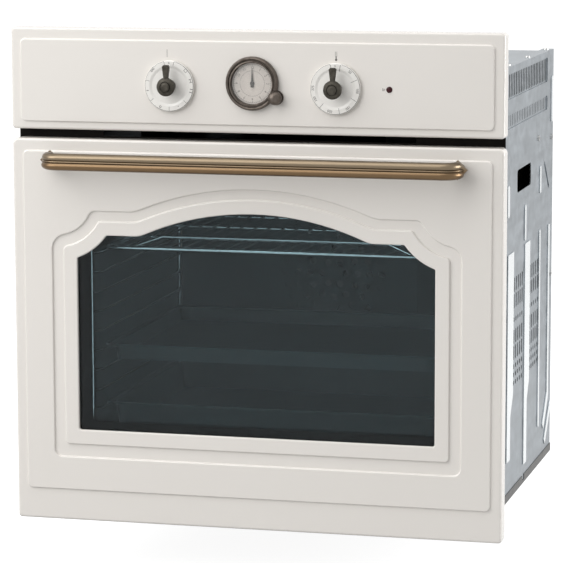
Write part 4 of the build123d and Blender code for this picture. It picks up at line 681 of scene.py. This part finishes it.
# Ticks, each with its angle and its inner and outer radius in millimetres.
for angle, inner, outer in ((12.9, 20.6, 29.0), (-11.6, 25.0, 29.0), (67, 20, 28.5), (119, 21, 28.5),
                            (169.5, 22.5, 29), (220, 22, 28.5)):
    marks.append((flat_bar(0.4 * MM, (outer - inner) * MM, 12), angle, (inner + outer) / 2 * MM))
numbers = printed(marks, DIAL_X, PRINT_Y, DIAL_Z)
on_dial(numbers, "temperature_dial")
ready(numbers, "temperature_dial_print", print_grey, "temperature_control", smooth=None)

# The signs are built of bars and small rings: a square, two posts with a bar across, strokes.
marks = [(flat_ring(RIM_R, LINE, 12.0, 348.0), 0, 0), (flat_word("0", 2.2 * MM), 0, 27.0 * MM),
         (flat_ring(26.0 * MM, 0.5 * MM, 150, 158), 0, 0)]
for angle, radius in ((-44, 27.6), (-50, 27.4), (204, 26.6)):
    marks.append((flat_ring(1.1 * MM, 0.5 * MM, sides=16), angle, radius * MM))
for angle, radius, width, length in (
        (48, 29.0, 3.2, 0.45), (48, 25.8, 3.2, 0.45), (51.5, 27.4, 0.45, 3.4), (44.5, 27.4, 0.45, 3.4),
        (72, 27.0, 0.45, 3.6), (80, 27.0, 0.45, 3.6), (76, 27.0, 3.6, 0.5), (97, 27.3, 0.7, 3.2),
        (105, 27.3, 0.7, 3.2), (258, 26.8, 0.7, 2.6)):
    marks.append((flat_bar(width * MM, length * MM), angle, radius * MM))
for angle in (12.0, 133, 180, 232, 283, 348):
    marks.append((flat_bar(LINE, 5.0 * MM, 8), angle, 26.6 * MM))
signs = printed(marks, -DIAL_X, PRINT_Y, DIAL_Z)
on_dial(signs, "function_dial")
ready(signs, "function_dial_print", print_grey, "function_control", smooth=None)

# The panel's own marks: an index over each dial and a sign beside the pilot lamp. Each mark has
# its x and z.
PANEL_Y, PRINT_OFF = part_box("control_panel")[0][1], 0.02 * MM
ABOVE = DIAL_Z + 38.0 * MM
pilot_low, pilot_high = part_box("pilot_lamp")
BESIDE = pilot_low[0] - 1.8 * MM
marks = [(flat_bar(0.5 * MM, 9.0 * MM), -DIAL_X - 3.5 * MM, ABOVE),
         (flat_bar(0.4 * MM, 6.0 * MM), DIAL_X - 0.9 * MM, ABOVE + 2.0 * MM),
         (flat_bar(0.4 * MM, 6.0 * MM), DIAL_X + 0.9 * MM, ABOVE + 2.0 * MM),
         (flat_bar(1.1 * MM, 4.0 * MM), DIAL_X, ABOVE - 2.5 * MM),
         (flat_ring(0.9 * MM, 0.9 * MM, sides=16), DIAL_X, ABOVE - 4.5 * MM),
         (flat_bar(2.4 * MM, 0.5 * MM), BESIDE, DIAL_Z - 1.2 * MM),
         (flat_bar(0.5 * MM, 2.6 * MM), BESIDE - 1.2 * MM, DIAL_Z + 0.4 * MM),
         (flat_bar(0.5 * MM, 2.0 * MM), BESIDE + 0.3 * MM, DIAL_Z + 0.6 * MM),
         (flat_bar(0.5 * MM, 1.4 * MM), BESIDE + 1.4 * MM, DIAL_Z + 0.3 * MM)]
for mark, x, z in marks:
    placed(mark, (x, PANEL_Y - PRINT_OFF, z), UPRIGHT)
index_marks = joined([mark for mark, x, z in marks])
thickened(index_marks, INK)
ready(index_marks, "panel_print", print_grey, "root", smooth=None)

# Clock
# Stepped bronze ring and ball knob, warm grey printed face behind a slightly domed glass, and two
# tapered black hands.
dark_bronze = mottled("dark bronze", (160.0, 5.0, 0.6), (0.070, 0.057, 0.047), (0.150, 0.126, 0.108),
                      rough=(0.28, 0.48), Metallic=0.85)
wear(dark_bronze, "clock_bezel", "clock_knob")
clock_glass = mottled("clock glass", (5.0, 2.0), (0.80, 0.80, 0.78), (0.84, 0.84, 0.82), rough=0.03,
                      Specular_IOR_Level=0.3, Alpha=0.07)
wear(clock_glass, "clock_glass")
face = mottled("clock face", (120.0, 4.0), (0.56, 0.51, 0.465), (0.62, 0.57, 0.52), rough=0.45)
wear(face, "clock_dial")
face_low, face_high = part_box("clock_dial")
CLOCK_Z = (face_low[2] + face_high[2]) / 2
FACE_Y = face_low[1] - INK / 2
clock_ink = mottled("clock print", (1500.0,), (0.060, 0.052, 0.045), (0.085, 0.076, 0.066), rough=0.5)
marks = [(flat_ring(22.6 * MM, 0.3 * MM), 0, 0), (flat_ring(14.8 * MM, 0.25 * MM, sides=90), 0, 0)]
for hour in range(12):
    marks.append((flat_word(str(hour or 12), 2.9 * MM), hour * 30, 18.4 * MM))
# The minutes' ticks, each fifth one bolder and longer.
for minute in range(60):
    width, length, radius = (0.25, 1.1, 22.0) if minute % 5 else (0.5, 2.0, 21.6)
    marks.append((flat_bar(width * MM, length * MM), minute * 6, radius * MM))
figures = printed(marks, 0, FACE_Y, CLOCK_Z)
thickened(figures, INK)
ready(figures, "clock_print", clock_ink, "root", smooth=None)
hand_black = mottled("hand black", (200.0,), (0.012, 0.010, 0.008), (0.022, 0.019, 0.015), rough=0.4)
wear(hand_black, "minute_hand", "hour_hand")

# Pilot lamp
# Dark red lens in the panel, lit while the oven heats.
pilot = mottled("pilot red", (500.0,), (0.030, 0.005, 0.007), (0.045, 0.008, 0.011), rough=0.25,
                Specular_IOR_Level=0.2)
wear(pilot, "pilot_lamp")
